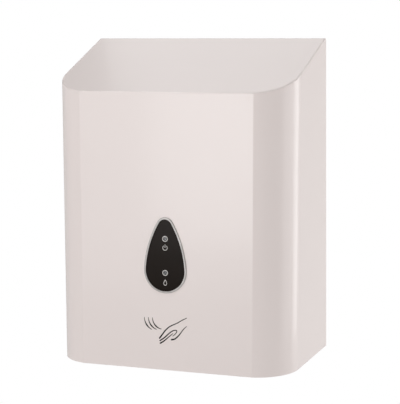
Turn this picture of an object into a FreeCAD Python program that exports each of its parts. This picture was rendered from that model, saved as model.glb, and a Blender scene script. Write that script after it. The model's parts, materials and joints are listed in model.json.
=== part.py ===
import FreeCAD, Part
import math
import os

# Wall-mounted, touch-free liquid soap dispenser. Lengths are in millimetres.
# +X is to the right seen from the front, +Y points into the wall and +Z is up.
# Heights are measured from the cover's bottom edge and depths from the wall (y = 0, the room is at -y).
# save() then moves every piece down, so that the origin lies on the wall at the centre of the screw holes.

Vector = FreeCAD.Vector
ORIGIN = Vector(0, 0, 0)
X_AXIS = Vector(1, 0, 0)
Z_AXIS = Vector(0, 0, 1)
FRONT = Vector(0, -1, 0)

# Cover, the white one-piece moulding
COVER_WIDTH = 240.0
COVER_HEIGHT = 310.0
COVER_DEPTH = 134.0
WALL_GAP = 3.5
FRONT_LEAN = 12.6 / 300
SIDE_DRAFT = 1.4 / 300
TOP_SLOPE = math.tan(math.radians(20))
CORNER_RADIUS = 40.0
CREASE = math.radians(10)
CREASE_ROUND = 5.0
TOP_ROUND = 1.5
SHELL = 2.6
HINGE_Y = -9.5
HINGE_Z = 301.0
PIN_RADIUS = 1.6
EAR_RADIUS = 4.5
COVER_RIB_XS = (45.0, 75.0)
COVER_RIB_Z = (12.0, 240.0)
RUNNING = 0.05

# Wall plate and its screw holes
PLATE_HALF_WIDTH = 116.0
PLATE_BOTTOM = 4.0
PLATE_TOP = 290.0
PLATE_THICKNESS = 3.0
HOLE_X = 107.0
HOLE_LOW = 48.0
HOLE_HIGH = 262.0
HOLE_RADIUS = 2.6
ORIGIN_HEIGHT = (HOLE_LOW + HOLE_HIGH) / 2
LUG_X = (86.0, 92.0)
LUG_RADIUS = 3.0
EAR_X = (92.5, 96.5)
PLATE_RIBS_X = (-70.0, -35.0, 0.0, 35.0, 70.0)
PLATE_RIBS_Z = (120.0, 200.0, 250.0)
POST_RADIUS = 3.0
THREAD_RADIUS = 1.5

# Teardrop window, drawn around the centre of its round lower end
DROP_HEIGHT = 96.3
DROP_RADIUS = 20.0
DROP_TIP_RADIUS = 7.2
DROP_LENGTH = 42.0
DROP_SIDE_RADIUS = 100.7
RIM_WIDTH = 1.8
RIM_PROUD = 0.9
SKIRT_WIDTH = 1.2
LIGHT_HEIGHTS = (94.3, 126.8)
LIGHT_RADIUS = 2.05

# Key lock on the cover's bottom edge, with its cam and the strike on the tray
LOCK_Y = -121.0
LOCK_RADIUS = 7.0
SHELF_X = (-15.0, 15.0)
SHELF_Z = (4.0, 7.0)
CORE_RADIUS = 5.0
CAM_LENGTH = 17.0
CAM_RADII = (7.0, 5.0)
CAM_Z = (16.4, 18.4)
SQUARE_HALF = 3.0
CAM_SCREW_RADIUS = 1.5
STRIKE_HALF_WIDTH = 9.5
STRIKE_Y = (-109.0, -97.5)
STRIKE_ROOF_Z = (19.2, 20.7)
STRIKE_SCREW = (13.2, -104.0)

# Underside: tray and hand sensor
TRAY_BOTTOM = 3.0
TRAY_TOP = 5.5
TRAY_RIM_TOP = 12.0
TRAY_BACK = -9.2
TRAY_TAB_FRONT = -11.2
TRAY_GAP = 1.2
TRAY_SCREWS_X = (-107.0, -48.0, 55.0, 107.0)
TRAY_SCREW_Z = 14.0
VENT_COUNT = 5
VENT_X = 45.0
VENT_SPACING = 9.0
VENT_Y = (-62.0, -32.0)
SENSOR_Y = -60.0
SENSOR_SIZE = (36.0, 13.0)
SENSOR_SCREW_X = 24.0
SENSOR_BOARD_Z = (23.0, 24.6)
DIODE_X = 9.0
LEAD_X = 1.2
LEAD_RADIUS = 0.3

# Nozzle and tubes
NOZZLE_Y = -86.0
NOZZLE_THREAD_RADIUS = 7.0
NOZZLE_STEM_RADIUS = 6.5
NOZZLE_TOP = 40.0
NOZZLE_BORE = 2.5
NIPPLE_RADIUS = 4.0
TIP_RADIUS = 4.5
FEED_OUTER = 7.0
DELIVERY_OUTER = 5.6
DELIVERY_BEND = 14.0
HOSE_CLIP = 1.2

# Bridge that carries the tank over the drive
DECK_BOTTOM = 78.0
DECK_TOP = 80.5
DECK_HALF_WIDTH = 100.0
DECK_FRONT = -85.0
FRAME_BACK = -12.0
FOOT_TOP = 8.0
FRAME_SCREWS = ((92.5, -20.0), (92.5, -75.0))
DISPLAY_SCREW = (14.0, -83.0)

# Tank
TANK_HALF_WIDTH = 74.0
TANK_BACK = -7.0
TANK_FRONT = -82.0
TANK_TOP = 232.0
TANK_WALL = 2.0
TANK_ROUND = 8.0
FLANGE_Y = (-23.5, -20.0)
SPIGOT_RADIUS = 5.0
SPIGOT_BORE = 3.5
SPIGOT_BOTTOM = 62.0
LEVEL_MARKS = 4
LEVEL_LOW = 110.0
LEVEL_STEP = 30.0
NECK_Y = -44.0
NECK_RADIUS = 22.0
NECK_WALL = 3.0
NECK_TOP = 250.0
CAP_RADIUS = 26.0
CAP_BOTTOM = 238.0
CAP_RIBS = 30
CLIP_X = 86.0
CLIP_Z = 165.0
CLIP_POST_RADIUS = 5.0
CLIP_POST_FRONT = -24.0
CLIP_SHOULDER_RADIUS = 2.0
CLIP_HEAD_BACK = -27.5

# Gear pump, drive gears and motor
PORT_X = -30.5
PORT_Y = -43.5
PUMP_X = -38.0
DRIVE_Z = 40.0
PUMP_MODULE = 1.25
PUMP_TEETH = 12
PUMP_SPACING = PUMP_MODULE * PUMP_TEETH
PUMP_WALL_RADIUS = 12.75
PUMP_SCREW_RADIUS = 1.2
PUMP_SCREW_REACH = 10.9
PORT_BORE = 3.0
NIPPLE_FRONT = -64.0
NIPPLE_BORE = 2.2
BACKLASH = 0.25
DRIVE_MODULE = 1.2
PINION_TEETH = 12
WHEEL_TEETH = 36
MOTOR_X = PUMP_X - DRIVE_MODULE * (PINION_TEETH + WHEEL_TEETH) / 2
MOTOR_RADIUS = 13.85
MOTOR_FLAT = 12.0
MOTOR_FRONT = -66.0
MOTOR_BOSS_RADIUS = 4.9
MOTOR_SHAFT_RADIUS = 1.5
MOTOR_SCREW_REACH = 9.0
MOTOR_SCREW_RADIUS = 1.25
GEAR_PLATE_BACK = -29.5
GEAR_PLATE_FRONT = -32.0
GEAR_PLATE_X = (-89.0, -5.0)
GEAR_PLATE_Z = (8.0, 74.0)
GEAR_POSTS = ((-84.0, 14.0), (-84.0, 68.0), (-10.0, 12.0), (-10.0, 70.0))
GEAR_COVER_DEPTH = 12.0
GEAR_COVER_WALL = 1.5
GEAR_BACK = -22.5
GEAR_FRONT = -28.5
PUMP_GEAR_BACK = -35.2
PUMP_GEAR_FRONT = -51.8
PUMP_COVER_BACK = -52.0
PUMP_COVER_FRONT = -55.0
SHAFT_RADIUS = 3.0
SHAFT_FRONT = -53.6
OUTLET_Z = 33.0

# Battery box, with four C cells that lie across it
BOX_X = (32.5, 96.5)
BOX_Y = (-89.0, -24.0)
BOX_Z = (11.0, 70.0)
CELL_RADIUS = 13.1
CELL_LENGTH = 50.0
CELL_NUB = 1.5
BOX_SIDE = 3.0
CONTACT_THICKNESS = 0.4
CONTACT_X = (BOX_X[0] + BOX_SIDE + CONTACT_THICKNESS, BOX_X[1] - BOX_SIDE - CONTACT_THICKNESS)
CELL_YS = (-39.5, -66.5)
CELL_ZS = (26.35, 54.65)
DOOR_Y = (-88.0, -85.8)
DOOR_RIBS_X = (52.0, 77.0)
DOOR_RIBS_Z = (50.0, 53.0, 56.0, 59.0, 62.0)

# Display housing behind the window
DISPLAY_HALF_WIDTH = 23.0
DISPLAY_Y = (-124.0, -106.0)
DISPLAY_Z = (50.0, 150.0)
DISPLAY_WALL = 1.8
DISPLAY_BOARD_Y = (-110.0, -108.4)
SWITCH_X = -9.0
SWITCH_Z = 66.0
DIAL_X = 9.0
DIAL_Z = 69.0
DIAL_RADIUS = 6.6
DIAL_GRIPS = 18

# Control board
BOARD_X = (-5.0, 38.0)
BOARD_Z = (11.0, 73.0)
BOARD_BACK = -11.0
BOARD_FRONT = -12.6
BOARD_POSTS = ((0.0, 16.0), (0.0, 68.0), (33.0, 16.0), (33.0, 68.0))
CONNECTORS = ((8.0, 66.0), (19.0, 66.0), (12.0, 46.0), (27.0, 56.0))
WIRE_RADIUS = 0.8
WIRE_BEND = 3.0


# ---------------------------------------------------------------- helpers

def save(shape, name):
    """Write one sub-part, moved into the object's own frame."""
    placed = shape.copy()
    placed.translate(Vector(0, 0, -ORIGIN_HEIGHT))
    placed.exportStep(os.path.join("parts", name + ".step"))


def block(x, y, z):
    """Block that spans the given ranges."""
    return Part.makeBox(x[1] - x[0], y[1] - y[0], z[1] - z[0], Vector(x[0], y[0], z[0]))


def rod(radius, start, end):
    """Round rod from start to end."""
    along = end.sub(start)
    return Part.makeCylinder(radius, along.Length, start, along)


def rod_y(radius, x, z, y_start, y_end):
    """Round rod along Y."""
    return rod(radius, Vector(x, y_start, z), Vector(x, y_end, z))


def rod_z(radius, x, y, z_start, z_end):
    """Round rod along Z."""
    return rod(radius, Vector(x, y, z_start), Vector(x, y, z_end))


def join(shapes):
    """All the shapes as one solid."""
    return shapes[0].multiFuse(shapes[1:]).removeSplitter()


def group(shapes):
    """Separate solids that share one sub-part."""
    return Part.makeCompound(shapes)


def mirrored(shape):
    """The shape and its mirror image on the other side of the middle."""
    return [shape, shape.mirror(ORIGIN, X_AXIS)]


def rounded_plate(size_x, size_y, corner, thickness):
    """Plate with rounded corners, centred on the origin, with its thickness along +Z."""
    plate = Part.makeBox(size_x, size_y, thickness, Vector(-size_x / 2, -size_y / 2, 0))
    upright = [edge for edge in plate.Edges if abs(edge.tangentAt(edge.FirstParameter).z) > 0.9]
    return plate.makeFillet(corner, upright)


def upright_plate(x, y, z, corner):
    """Plate that faces the front, with its corners rounded seen from there."""
    plate = rounded_plate(x[1] - x[0], z[1] - z[0], corner, y[1] - y[0])
    return face_front(plate, (x[0] + x[1]) / 2, y[1], (z[0] + z[1]) / 2)


def flat_plate(x, y, z, corner):
    """Level plate, with its corners rounded seen from above."""
    plate = rounded_plate(x[1] - x[0], y[1] - y[0], corner, z[1] - z[0])
    plate.translate(Vector((x[0] + x[1]) / 2, (y[0] + y[1]) / 2, z[0]))
    return plate


def face_front(shape, x, y, z):
    """Turn a shape's +Z to the front, and move it."""
    turned = shape.copy()
    turned.rotate(ORIGIN, X_AXIS, 90)
    turned.translate(Vector(x, y, z))
    return turned


def prism_x(points, x):
    """Polygon of (y, z) points, filled from x[0] to x[1]."""
    corners = [Vector(x[0], y, z) for y, z in points]
    outline = Part.makePolygon(corners + corners[:1])
    return Part.Face(outline).extrude(Vector(x[1] - x[0], 0, 0))


def hull(centre_1, radius_1, centre_2, radius_2, thickness):
    """Solid around two circles on one row (same second coordinate), with its thickness along +Z."""
    gap = centre_2[0] - centre_1[0]
    turn = math.acos((radius_1 - radius_2) / gap)
    ends = []
    for centre, radius in ((centre_1, radius_1), (centre_2, radius_2)):
        x = centre[0] + radius * math.cos(turn)
        rise = radius * math.sin(turn)
        ends.append((Vector(x, centre[1] + rise, 0), Vector(x, centre[1] - rise, 0)))
    left = Vector(centre_1[0] - radius_1, centre_1[1], 0)
    right = Vector(centre_2[0] + radius_2, centre_2[1], 0)
    edges = [
        Part.Arc(ends[0][0], left, ends[0][1]).toShape(),
        Part.LineSegment(ends[0][1], ends[1][1]).toShape(),
        Part.Arc(ends[1][1], right, ends[1][0]).toShape(),
        Part.LineSegment(ends[1][0], ends[0][0]).toShape(),
    ]
    return Part.Face(Part.Wire(edges)).extrude(Vector(0, 0, thickness))


def bent_path(points, bend):
    """Wire of straight runs through the points, joined by tangent arcs of one radius."""
    edges = []
    last = points[0]
    for before, corner, after in zip(points, points[1:], points[2:]):
        way_in = corner.sub(before).normalize()
        way_out = after.sub(corner).normalize()
        turn = way_in.getAngle(way_out)
        setback = bend * math.tan(turn / 2)
        start = corner.sub(way_in * setback)
        end = corner.add(way_out * setback)
        inwards = way_out.sub(way_in).normalize()
        middle = corner.add(inwards * (bend / math.cos(turn / 2) - bend))
        edges.append(Part.LineSegment(last, start).toShape())
        edges.append(Part.Arc(start, middle, end).toShape())
        last = end
    edges.append(Part.LineSegment(last, points[-1]).toShape())
    return Part.Wire(edges)


def bent_rod(points, bend, radius):
    """Round rod along a bent path."""
    path = bent_path(points, bend)
    outline = Part.Wire(Part.makeCircle(radius, points[0], points[1].sub(points[0])))
    return path.makePipeShell([outline], True, False)


def pan_screw(radius, length):
    """Pan-head screw that points down from the origin, with a cross slot in its head."""
    head_radius = radius * 1.85
    head_height = radius * 1.3
    slot = radius * 0.35
    screw = rod_z(head_radius, 0, 0, 0, head_height)
    top_edges = [edge for edge in screw.Edges if edge.BoundBox.ZMin > head_height / 2]
    screw = screw.makeFillet(radius * 0.5, top_edges)
    screw = screw.fuse(rod_z(radius, 0, 0, -length, 0)).removeSplitter()
    for across in ((radius, slot), (slot, radius)):
        screw = screw.cut(block((-across[0], across[0]), (-across[1], across[1]), (head_height / 2, 9)))
    return screw


def screw_front(radius, length, x, y, z):
    """Screw whose head faces the front and sits on the plane y."""
    return face_front(pan_screw(radius, length), x, y, z)


def screw_down(radius, length, x, y, z):
    """Screw whose head faces up and sits on the plane z."""
    screw = pan_screw(radius, length)
    screw.translate(Vector(x, y, z))
    return screw


def gear(teeth, module, width, bore, backlash):
    """Spur gear around +Z with involute flanks and a tooth on +X."""
    pitch_radius = module * teeth / 2
    base_radius = pitch_radius * math.cos(math.radians(20))
    tip_radius = pitch_radius + module
    root_radius = pitch_radius - 1.25 * module
    flank_steps = 4

    def involute(radius):
        lean = math.acos(min(1.0, base_radius / radius))
        return math.tan(lean) - lean

    half_pitch = math.pi / 2 / teeth - backlash / 2 / pitch_radius + involute(pitch_radius)
    flank_start = max(base_radius, root_radius + 0.01)
    radii = [flank_start + (tip_radius - flank_start) * i / flank_steps for i in range(flank_steps + 1)]
    flank = [(root_radius, half_pitch)] + [(r, half_pitch - involute(r)) for r in radii]
    points = []
    for tooth in range(teeth):
        middle = 2 * math.pi * tooth / teeth
        for radius, angle in [(r, -a) for r, a in flank] + flank[::-1]:
            points.append(Vector(radius * math.cos(middle + angle), radius * math.sin(middle + angle), 0))
    body = Part.Face(Part.makePolygon(points + points[:1])).extrude(Vector(0, 0, width))
    return body.cut(Part.makeCylinder(bore, width)) if bore else body


def gear_front(shape, x, y_back):
    """Gear on an axis along Y, with its back face on y_back."""
    return face_front(shape, x, y_back, DRIVE_Z)


# ---------------------------------------------------------------- cover

def top_height(y, inset=0.0):
    """Height of the sloping top at a depth, or of the plane that lies inset under it."""
    drop = inset * math.sqrt(1 + TOP_SLOPE ** 2)
    return COVER_HEIGHT + TOP_SLOPE * (y + WALL_GAP) - drop


def front_depth(height, inset=0.0):
    """Y of the front face at a height, or of the plane that lies inset behind it."""
    return -(WALL_GAP + COVER_DEPTH - FRONT_LEAN * height) + inset


def cover_outline(height, inset, rear):
    """The cover's outline at one height, moved inwards by inset and closed on the plane y = rear."""
    half = COVER_WIDTH / 2 + SIDE_DRAFT * height - inset
    front = front_depth(height, inset)
    radius = CORNER_RADIUS - inset
    centre_x = half - radius
    centre_y = front_depth(height) + CORNER_RADIUS * math.cos(CREASE)
    end_angle = math.asin((centre_y - front) / radius)

    def corner(angle, side):
        x = centre_x + radius * math.cos(angle)
        return Vector(side * x, centre_y - radius * math.sin(angle), height)

    right = [corner(end_angle * share, 1) for share in (0, 0.5, 1)]
    left = [corner(end_angle * share, -1) for share in (1, 0.5, 0)]
    rear_right = Vector(half, rear, height)
    rear_left = Vector(-half, rear, height)
    return Part.Wire([
        Part.LineSegment(rear_right, right[0]).toShape(),
        Part.Arc(*right).toShape(),
        Part.LineSegment(right[2], left[0]).toShape(),
        Part.Arc(*left).toShape(),
        Part.LineSegment(left[2], rear_left).toShape(),
        Part.LineSegment(rear_left, rear_right).toShape(),
    ])


def cover_block(inset, rear, bottom):
    """Solid inside the cover's outline, under the sloping top."""
    above = COVER_HEIGHT + 20
    outlines = [cover_outline(height, inset, rear) for height in (bottom, above)]
    solid = Part.makeLoft(outlines, True, True)
    over_top = prism_x([
        (20, top_height(20, inset)),
        (-200, top_height(-200, inset)),
        (-200, above + 20),
        (20, above + 20),
    ], (-200, 200))
    return solid.cut(over_top)


def on_front(shape, height):
    """Move a shape from its own XY plane onto the leaning front face, +Z outwards."""
    placed = shape.copy()
    placed.rotate(ORIGIN, X_AXIS, 90 - math.degrees(math.atan(FRONT_LEAN)))
    placed.translate(Vector(0, front_depth(height), height))
    return placed


def drop(offset, start, end):
    """Teardrop between two distances from the front face, with its outline moved outwards by offset."""
    low = DROP_RADIUS + offset
    tip = DROP_TIP_RADIUS + offset
    side = DROP_SIDE_RADIUS + offset
    reach_low = side - low
    reach_tip = side - tip
    centre_y = (DROP_LENGTH ** 2 + reach_low ** 2 - reach_tip ** 2) / (2 * DROP_LENGTH)
    centre_x = math.sqrt(reach_low ** 2 - centre_y ** 2)
    low_turn = math.atan2(-centre_y, centre_x)
    tip_turn = math.atan2(DROP_LENGTH - centre_y, centre_x)

    def side_point(turn, mirror):
        x = side * math.cos(turn) - centre_x
        return Vector(mirror * x, centre_y + side * math.sin(turn), start)

    low_right = side_point(low_turn, 1)
    low_left = side_point(low_turn, -1)
    tip_right = side_point(tip_turn, 1)
    tip_left = side_point(tip_turn, -1)
    middle_turn = (low_turn + tip_turn) / 2
    outline = Part.Wire([
        Part.Arc(low_left, Vector(0, -low, start), low_right).toShape(),
        Part.Arc(low_right, side_point(middle_turn, 1), tip_right).toShape(),
        Part.Arc(tip_right, Vector(0, DROP_LENGTH + tip, start), tip_left).toShape(),
        Part.Arc(tip_left, side_point(middle_turn, -1), low_left).toShape(),
    ])
    return Part.Face(outline).extrude(Vector(0, 0, end - start))


def cover_ear():
    """Right-hand ear inside the cover that turns on the hinge pin."""
    eye = rod(EAR_RADIUS, Vector(EAR_X[0], HINGE_Y, HINGE_Z), Vector(EAR_X[1], HINGE_Y, HINGE_Z))
    web = block(EAR_X, (HINGE_Y - EAR_RADIUS, HINGE_Y + EAR_RADIUS), (HINGE_Z, COVER_HEIGHT))
    return join([eye, web])


def front_rib(x):
    """Low upright rib on the inside of the front panel."""
    low, high = COVER_RIB_Z
    rib_height = 3.0
    half_width = 0.8
    outline = [(front_depth(z, inset), z) for z, inset in (
        (low, 1), (high, 1), (high, SHELL + rib_height), (low, SHELL + rib_height))]
    return prism_x(outline, (x - half_width, x + half_width))


def lock_shelf():
    """Shelf inside the cover's bottom front edge that carries the lock, with two gussets."""
    back = -111.5
    past_front = -150
    shelf = flat_plate(SHELF_X, (past_front, back), SHELF_Z, 4)
    low = SHELF_Z[1]
    gusset_top = 22
    gusset = prism_x([
        (past_front, low),
        (past_front, gusset_top),
        (-134, gusset_top),
        (-124, low),
    ], (12, SHELF_X[1] - 1))
    return join([shelf] + mirrored(gusset))


def make_cover():
    """One-piece cover: leaning front, round corners, flat sides and a flat sloping top."""
    outer = cover_block(0, -WALL_GAP, 0)
    creases = [edge for edge in outer.Edges if is_crease(edge)]
    outer = outer.makeFillet(CREASE_ROUND, creases)
    top_face = max(outer.Faces, key=lambda face: face.CenterOfMass.z)
    outer = outer.makeFillet(TOP_ROUND, top_face.Edges)
    shell = outer.cut(cover_block(SHELL, 10, -10))
    inside = mirrored(cover_ear()) + [lock_shelf()]
    for x in COVER_RIB_XS:
        inside += mirrored(front_rib(x))
    cover = join([shell] + [piece.common(outer) for piece in inside])
    pin_hole = rod(PIN_RADIUS + RUNNING, Vector(-120, HINGE_Y, HINGE_Z), Vector(120, HINGE_Y, HINGE_Z))
    inner_gap = block((-115, 115), (-20, -4), (HINGE_Z - 6, HINGE_Z + 3))
    window = on_front(drop(SKIRT_WIDTH + RUNNING, -6, 3), DROP_HEIGHT)
    lock_hole = rod_z(LOCK_RADIUS + RUNNING, 0, LOCK_Y, 0, 10)
    return cover.cut(pin_hole.common(inner_gap)).cut(window).cut(lock_hole)


def is_crease(edge):
    """Whether an edge is one of the two upright lines that bound the front panel."""
    box = edge.BoundBox
    crease_x = COVER_WIDTH / 2 - CORNER_RADIUS * (1 - math.sin(CREASE))
    return box.ZLength > 200 and abs(abs(box.Center.x) - crease_x) < 2 and box.Center.y < -100


def make_window_bezel():
    """Bright rim around the window, with a skirt that passes through the cover."""
    flange = drop(RIM_WIDTH, 0, RIM_PROUD)
    front_edges = [edge for edge in flange.Edges if edge.BoundBox.ZMin > 0.5]
    flange = flange.makeFillet(0.6, front_edges)
    skirt = drop(SKIRT_WIDTH, -4, 0)
    return on_front(flange.fuse(skirt).removeSplitter().cut(drop(0, -5, 2)), DROP_HEIGHT)


def make_window_lens():
    """Black window with two holes for the indicator lenses."""
    lens = drop(-0.05, -2.8, 0.5)
    front_edges = [edge for edge in lens.Edges if edge.BoundBox.ZMin > 0.2]
    lens = lens.makeFillet(0.3, front_edges)
    lens = on_front(lens, DROP_HEIGHT)
    for height in LIGHT_HEIGHTS:
        lens = lens.cut(on_front(Part.makeCylinder(LIGHT_RADIUS + RUNNING, 8, Vector(0, 0, -4)), height))
    return lens


def make_indicator_lenses():
    """Two small clear lenses in the window."""
    lens = Part.makeCylinder(LIGHT_RADIUS, 3.3, Vector(0, 0, -2.8))
    front_edges = [edge for edge in lens.Edges if edge.BoundBox.ZMin > 0.2]
    lens = lens.makeFillet(0.5, front_edges)
    return group([on_front(lens, height) for height in LIGHT_HEIGHTS])


# ---------------------------------------------------------------- lock

def make_lock_body():
    """Lock barrel with a flange under the shelf and a bore for the core."""
    flange = rod_z(9.5, 0, LOCK_Y, 2.2, SHELF_Z[0])
    low_edges = [edge for edge in flange.Edges if edge.BoundBox.ZMax < 3]
    flange = flange.makeFillet(0.8, low_edges)
    barrel = rod_z(LOCK_RADIUS, 0, LOCK_Y, SHELF_Z[0], CAM_Z[0] - 0.4)
    return join([flange, barrel]).cut(rod_z(CORE_RADIUS + RUNNING, 0, LOCK_Y, 0, 20))


def hex_nut(across_flats, bore, x, y, z_low, z_high):
    """Hexagon nut around a vertical axis."""
    radius = across_flats / math.sqrt(3)
    corners = []
    for i in range(7):
        angle = math.radians(60 * i)
        corners.append(Vector(x + radius * math.cos(angle), y + radius * math.sin(angle), z_low))
    nut = Part.Face(Part.makePolygon(corners)).extrude(Vector(0, 0, z_high - z_low))
    return nut.cut(rod_z(bore, x, y, z_low - 1, z_high + 1))


def make_lock_nut():
    """Nut that holds the lock on its shelf."""
    return hex_nut(19, LOCK_RADIUS, 0, LOCK_Y, SHELF_Z[1], SHELF_Z[1] + 3)


def cam_square():
    """Square end of the core, which fills the square hole in the cam."""
    half = SQUARE_HALF
    return block((-half, half), (LOCK_Y - half, LOCK_Y + half), CAM_Z)


def make_lock_core():
    """Turning core with a key slot below and a square end above."""
    core = rod_z(CORE_RADIUS, 0, LOCK_Y, 2.4, CAM_Z[0])
    key_slot = block((-0.9, 0.9), (LOCK_Y - 3.2, LOCK_Y + 3.2), (0, 11))
    key_groove = block((0.9, 1.6), (LOCK_Y - 1, LOCK_Y + 0.6), (0, 11))
    thread_hole = rod_z(CAM_SCREW_RADIUS, 0, LOCK_Y, CAM_Z[1] - 6.4, 20)
    return core.fuse(cam_square()).removeSplitter().cut(key_slot).cut(key_groove).cut(thread_hole)


def make_lock_cam():
    """Cam on the core's square end, at rest pointing to the right."""
    hub, tip = CAM_RADII
    cam = hull((0, 0), hub, (CAM_LENGTH - tip, 0), tip, CAM_Z[1] - CAM_Z[0])
    cam.translate(Vector(0, LOCK_Y, CAM_Z[0]))
    return cam.cut(cam_square())


def make_cam_screw():
    """Screw that holds the cam on the core."""
    return screw_down(CAM_SCREW_RADIUS, 6, 0, LOCK_Y, CAM_Z[1])


def make_lock_strike():
    """Folded metal hook on the tray that the cam turns under."""
    half = STRIKE_HALF_WIDTH
    sheet = STRIKE_ROOF_Z[1] - STRIKE_ROOF_Z[0]
    roof = block((-half, half), STRIKE_Y, STRIKE_ROOF_Z)
    web = block((-half, half), (STRIKE_Y[1] - sheet, STRIKE_Y[1]), (TRAY_TOP, STRIKE_ROOF_Z[1]))
    foot = block((half - 1.5, 17), STRIKE_Y, (TRAY_TOP, TRAY_TOP + sheet))
    foot = foot.cut(rod_z(THREAD_RADIUS, *STRIKE_SCREW, 0, 20))
    return join([roof, web] + mirrored(foot))


# ---------------------------------------------------------------- wall plate and tray

def hinge_lug():
    """Right-hand lug that reaches up from the plate and holds a hinge pin."""
    eye = rod(LUG_RADIUS, Vector(LUG_X[0], HINGE_Y, HINGE_Z), Vector(LUG_X[1], HINGE_Y, HINGE_Z))
    arm = prism_x([
        (-1, 262),
        (-1, 288),
        (-3, 288),
        (HINGE_Y + LUG_RADIUS, 292),
        (HINGE_Y + LUG_RADIUS, HINGE_Z),
        (HINGE_Y - LUG_RADIUS, HINGE_Z),
        (HINGE_Y - LUG_RADIUS, 285),
    ], LUG_X)
    return join([eye, arm])


def plate_rim():
    """Low wall around the front of the plate."""
    step = 0.5
    wall = 2.0
    half = PLATE_HALF_WIDTH - step
    low = PLATE_BOTTOM + step
    high = PLATE_TOP - step
    outer = upright_plate((-half, half), (-8, -1), (low, high), 8)
    inner = upright_plate((-half + wall, half - wall), (-9, 0), (low + wall, high - wall), 6)
    return outer.cut(inner)


def make_wall_plate():
    """Plate that is screwed to the wall, with its rim, ribs, posts and hinge lugs."""
    half = PLATE_HALF_WIDTH
    plate = upright_plate((-half, half), (-PLATE_THICKNESS, 0), (PLATE_BOTTOM, PLATE_TOP), 8)
    pieces = [plate, plate_rim()] + mirrored(hinge_lug())
    for x in PLATE_RIBS_X:
        pieces.append(block((x - 1, x + 1), (-6, -1), (DECK_TOP + 5.5, PLATE_TOP - 6)))
    for z in PLATE_RIBS_Z:
        pieces.append(block((-100, 100), (-5, -1), (z - 1, z + 1)))
    for x, z in GEAR_POSTS:
        pieces.append(rod_y(POST_RADIUS, x, z, -1, GEAR_PLATE_BACK))
    for x, z in BOARD_POSTS:
        pieces.append(rod_y(POST_RADIUS, x, z, -1, BOARD_BACK))
    for x in TRAY_SCREWS_X:
        pieces.append(rod_y(POST_RADIUS, x, TRAY_SCREW_Z, -1, -9))
    for x in (-CLIP_X, CLIP_X):
        pieces.append(rod_y(CLIP_POST_RADIUS, x, CLIP_Z, -1, CLIP_POST_FRONT))
    body = join(pieces)
    holes = []
    for x in (-HOLE_X, HOLE_X):
        for z in (HOLE_LOW, HOLE_HIGH):
            holes.append(rod_y(HOLE_RADIUS, x, z, 1, -PLATE_THICKNESS - 1))
    for x, z in GEAR_POSTS:
        holes.append(rod_y(THREAD_RADIUS, x, z, GEAR_PLATE_BACK + 8, GEAR_PLATE_BACK - 1))
    for x, z in BOARD_POSTS:
        holes.append(rod_y(THREAD_RADIUS, x, z, BOARD_BACK + 7, BOARD_BACK - 1))
    for x in TRAY_SCREWS_X:
        holes.append(rod_y(THREAD_RADIUS, x, TRAY_SCREW_Z, -2, -10))
    for x in (-CLIP_X, CLIP_X):
        holes.append(rod_y(THREAD_RADIUS, x, CLIP_Z, CLIP_POST_FRONT + 10, CLIP_POST_FRONT - 1))
    holes.append(rod(PIN_RADIUS, Vector(-100, HINGE_Y, HINGE_Z), Vector(100, HINGE_Y, HINGE_Z)))
    for hole in holes:
        body = body.cut(hole)
    return body


def make_hinge_pins():
    """Two pins that are pressed into the lugs and carry the cover's ears."""
    head_radius = 2.8
    head_height = 1.5
    inner_face = Vector(LUG_X[0], HINGE_Y, HINGE_Z)
    shank = rod(PIN_RADIUS, inner_face, Vector(EAR_X[1] + 1, HINGE_Y, HINGE_Z))
    head = rod(head_radius, inner_face.sub(X_AXIS * head_height), inner_face)
    return group(mirrored(join([shank, head])))


def tray_outline(inset, z_low, z_high):
    """Level slab that follows the inside of the cover, at a distance from it."""
    outline = cover_outline(0, SHELL + inset, TRAY_BACK)
    slab = Part.Face(outline).extrude(Vector(0, 0, z_high - z_low))
    slab.translate(Vector(0, 0, z_low))
    return slab


def make_bottom_tray():
    """Tray that closes the underside, open for the nozzle, the sensor window and the lock."""
    back = (TRAY_TAB_FRONT, TRAY_BACK)
    wall = TRAY_BACK - TRAY_TAB_FRONT
    floor = tray_outline(TRAY_GAP, TRAY_BOTTOM, TRAY_TOP)
    rim = tray_outline(TRAY_GAP, TRAY_BOTTOM, TRAY_RIM_TOP).cut(tray_outline(TRAY_GAP + wall, 0, 20))
    flange = block((-112, 112), back, (TRAY_BOTTOM, 8))
    tabs = [block((x - 5, x + 5), back, (TRAY_BOTTOM, TRAY_SCREW_Z + 5)) for x in TRAY_SCREWS_X]
    body = join([floor, rim, flange] + tabs)
    body = body.cut(flat_plate((SHELF_X[0] - 2.5, SHELF_X[1] + 2.5), (-160, -110), (0, 30), 4))
    body = body.cut(rod_z(NOZZLE_THREAD_RADIUS + 0.2, 0, NOZZLE_Y, 0, 20))
    half_x = SENSOR_SIZE[0] / 2
    half_y = SENSOR_SIZE[1] / 2
    body = body.cut(flat_plate((-half_x, half_x), (SENSOR_Y - half_y, SENSOR_Y + half_y), (0, 20), 3))
    for x in TRAY_SCREWS_X:
        body = body.cut(rod_y(THREAD_RADIUS, x, TRAY_SCREW_Z, 0, -20))
    for x, y in FRAME_SCREWS:
        for side in (-1, 1):
            body = body.cut(rod_z(THREAD_RADIUS, side * x, y, 0, 20))
    for side in (-1, 1):
        body = body.cut(rod_z(THREAD_RADIUS, side * STRIKE_SCREW[0], STRIKE_SCREW[1], 0, 20))
        body = body.cut(rod_z(THREAD_RADIUS, side * SENSOR_SCREW_X, SENSOR_Y, 0, 20))
    for i in range(VENT_COUNT):
        for side in (-1, 1):
            x = side * (VENT_X + VENT_SPACING * i)
            body = body.cut(flat_plate((x - 1.5, x + 1.5), VENT_Y, (0, 20), 1.4))
    return body


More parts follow.
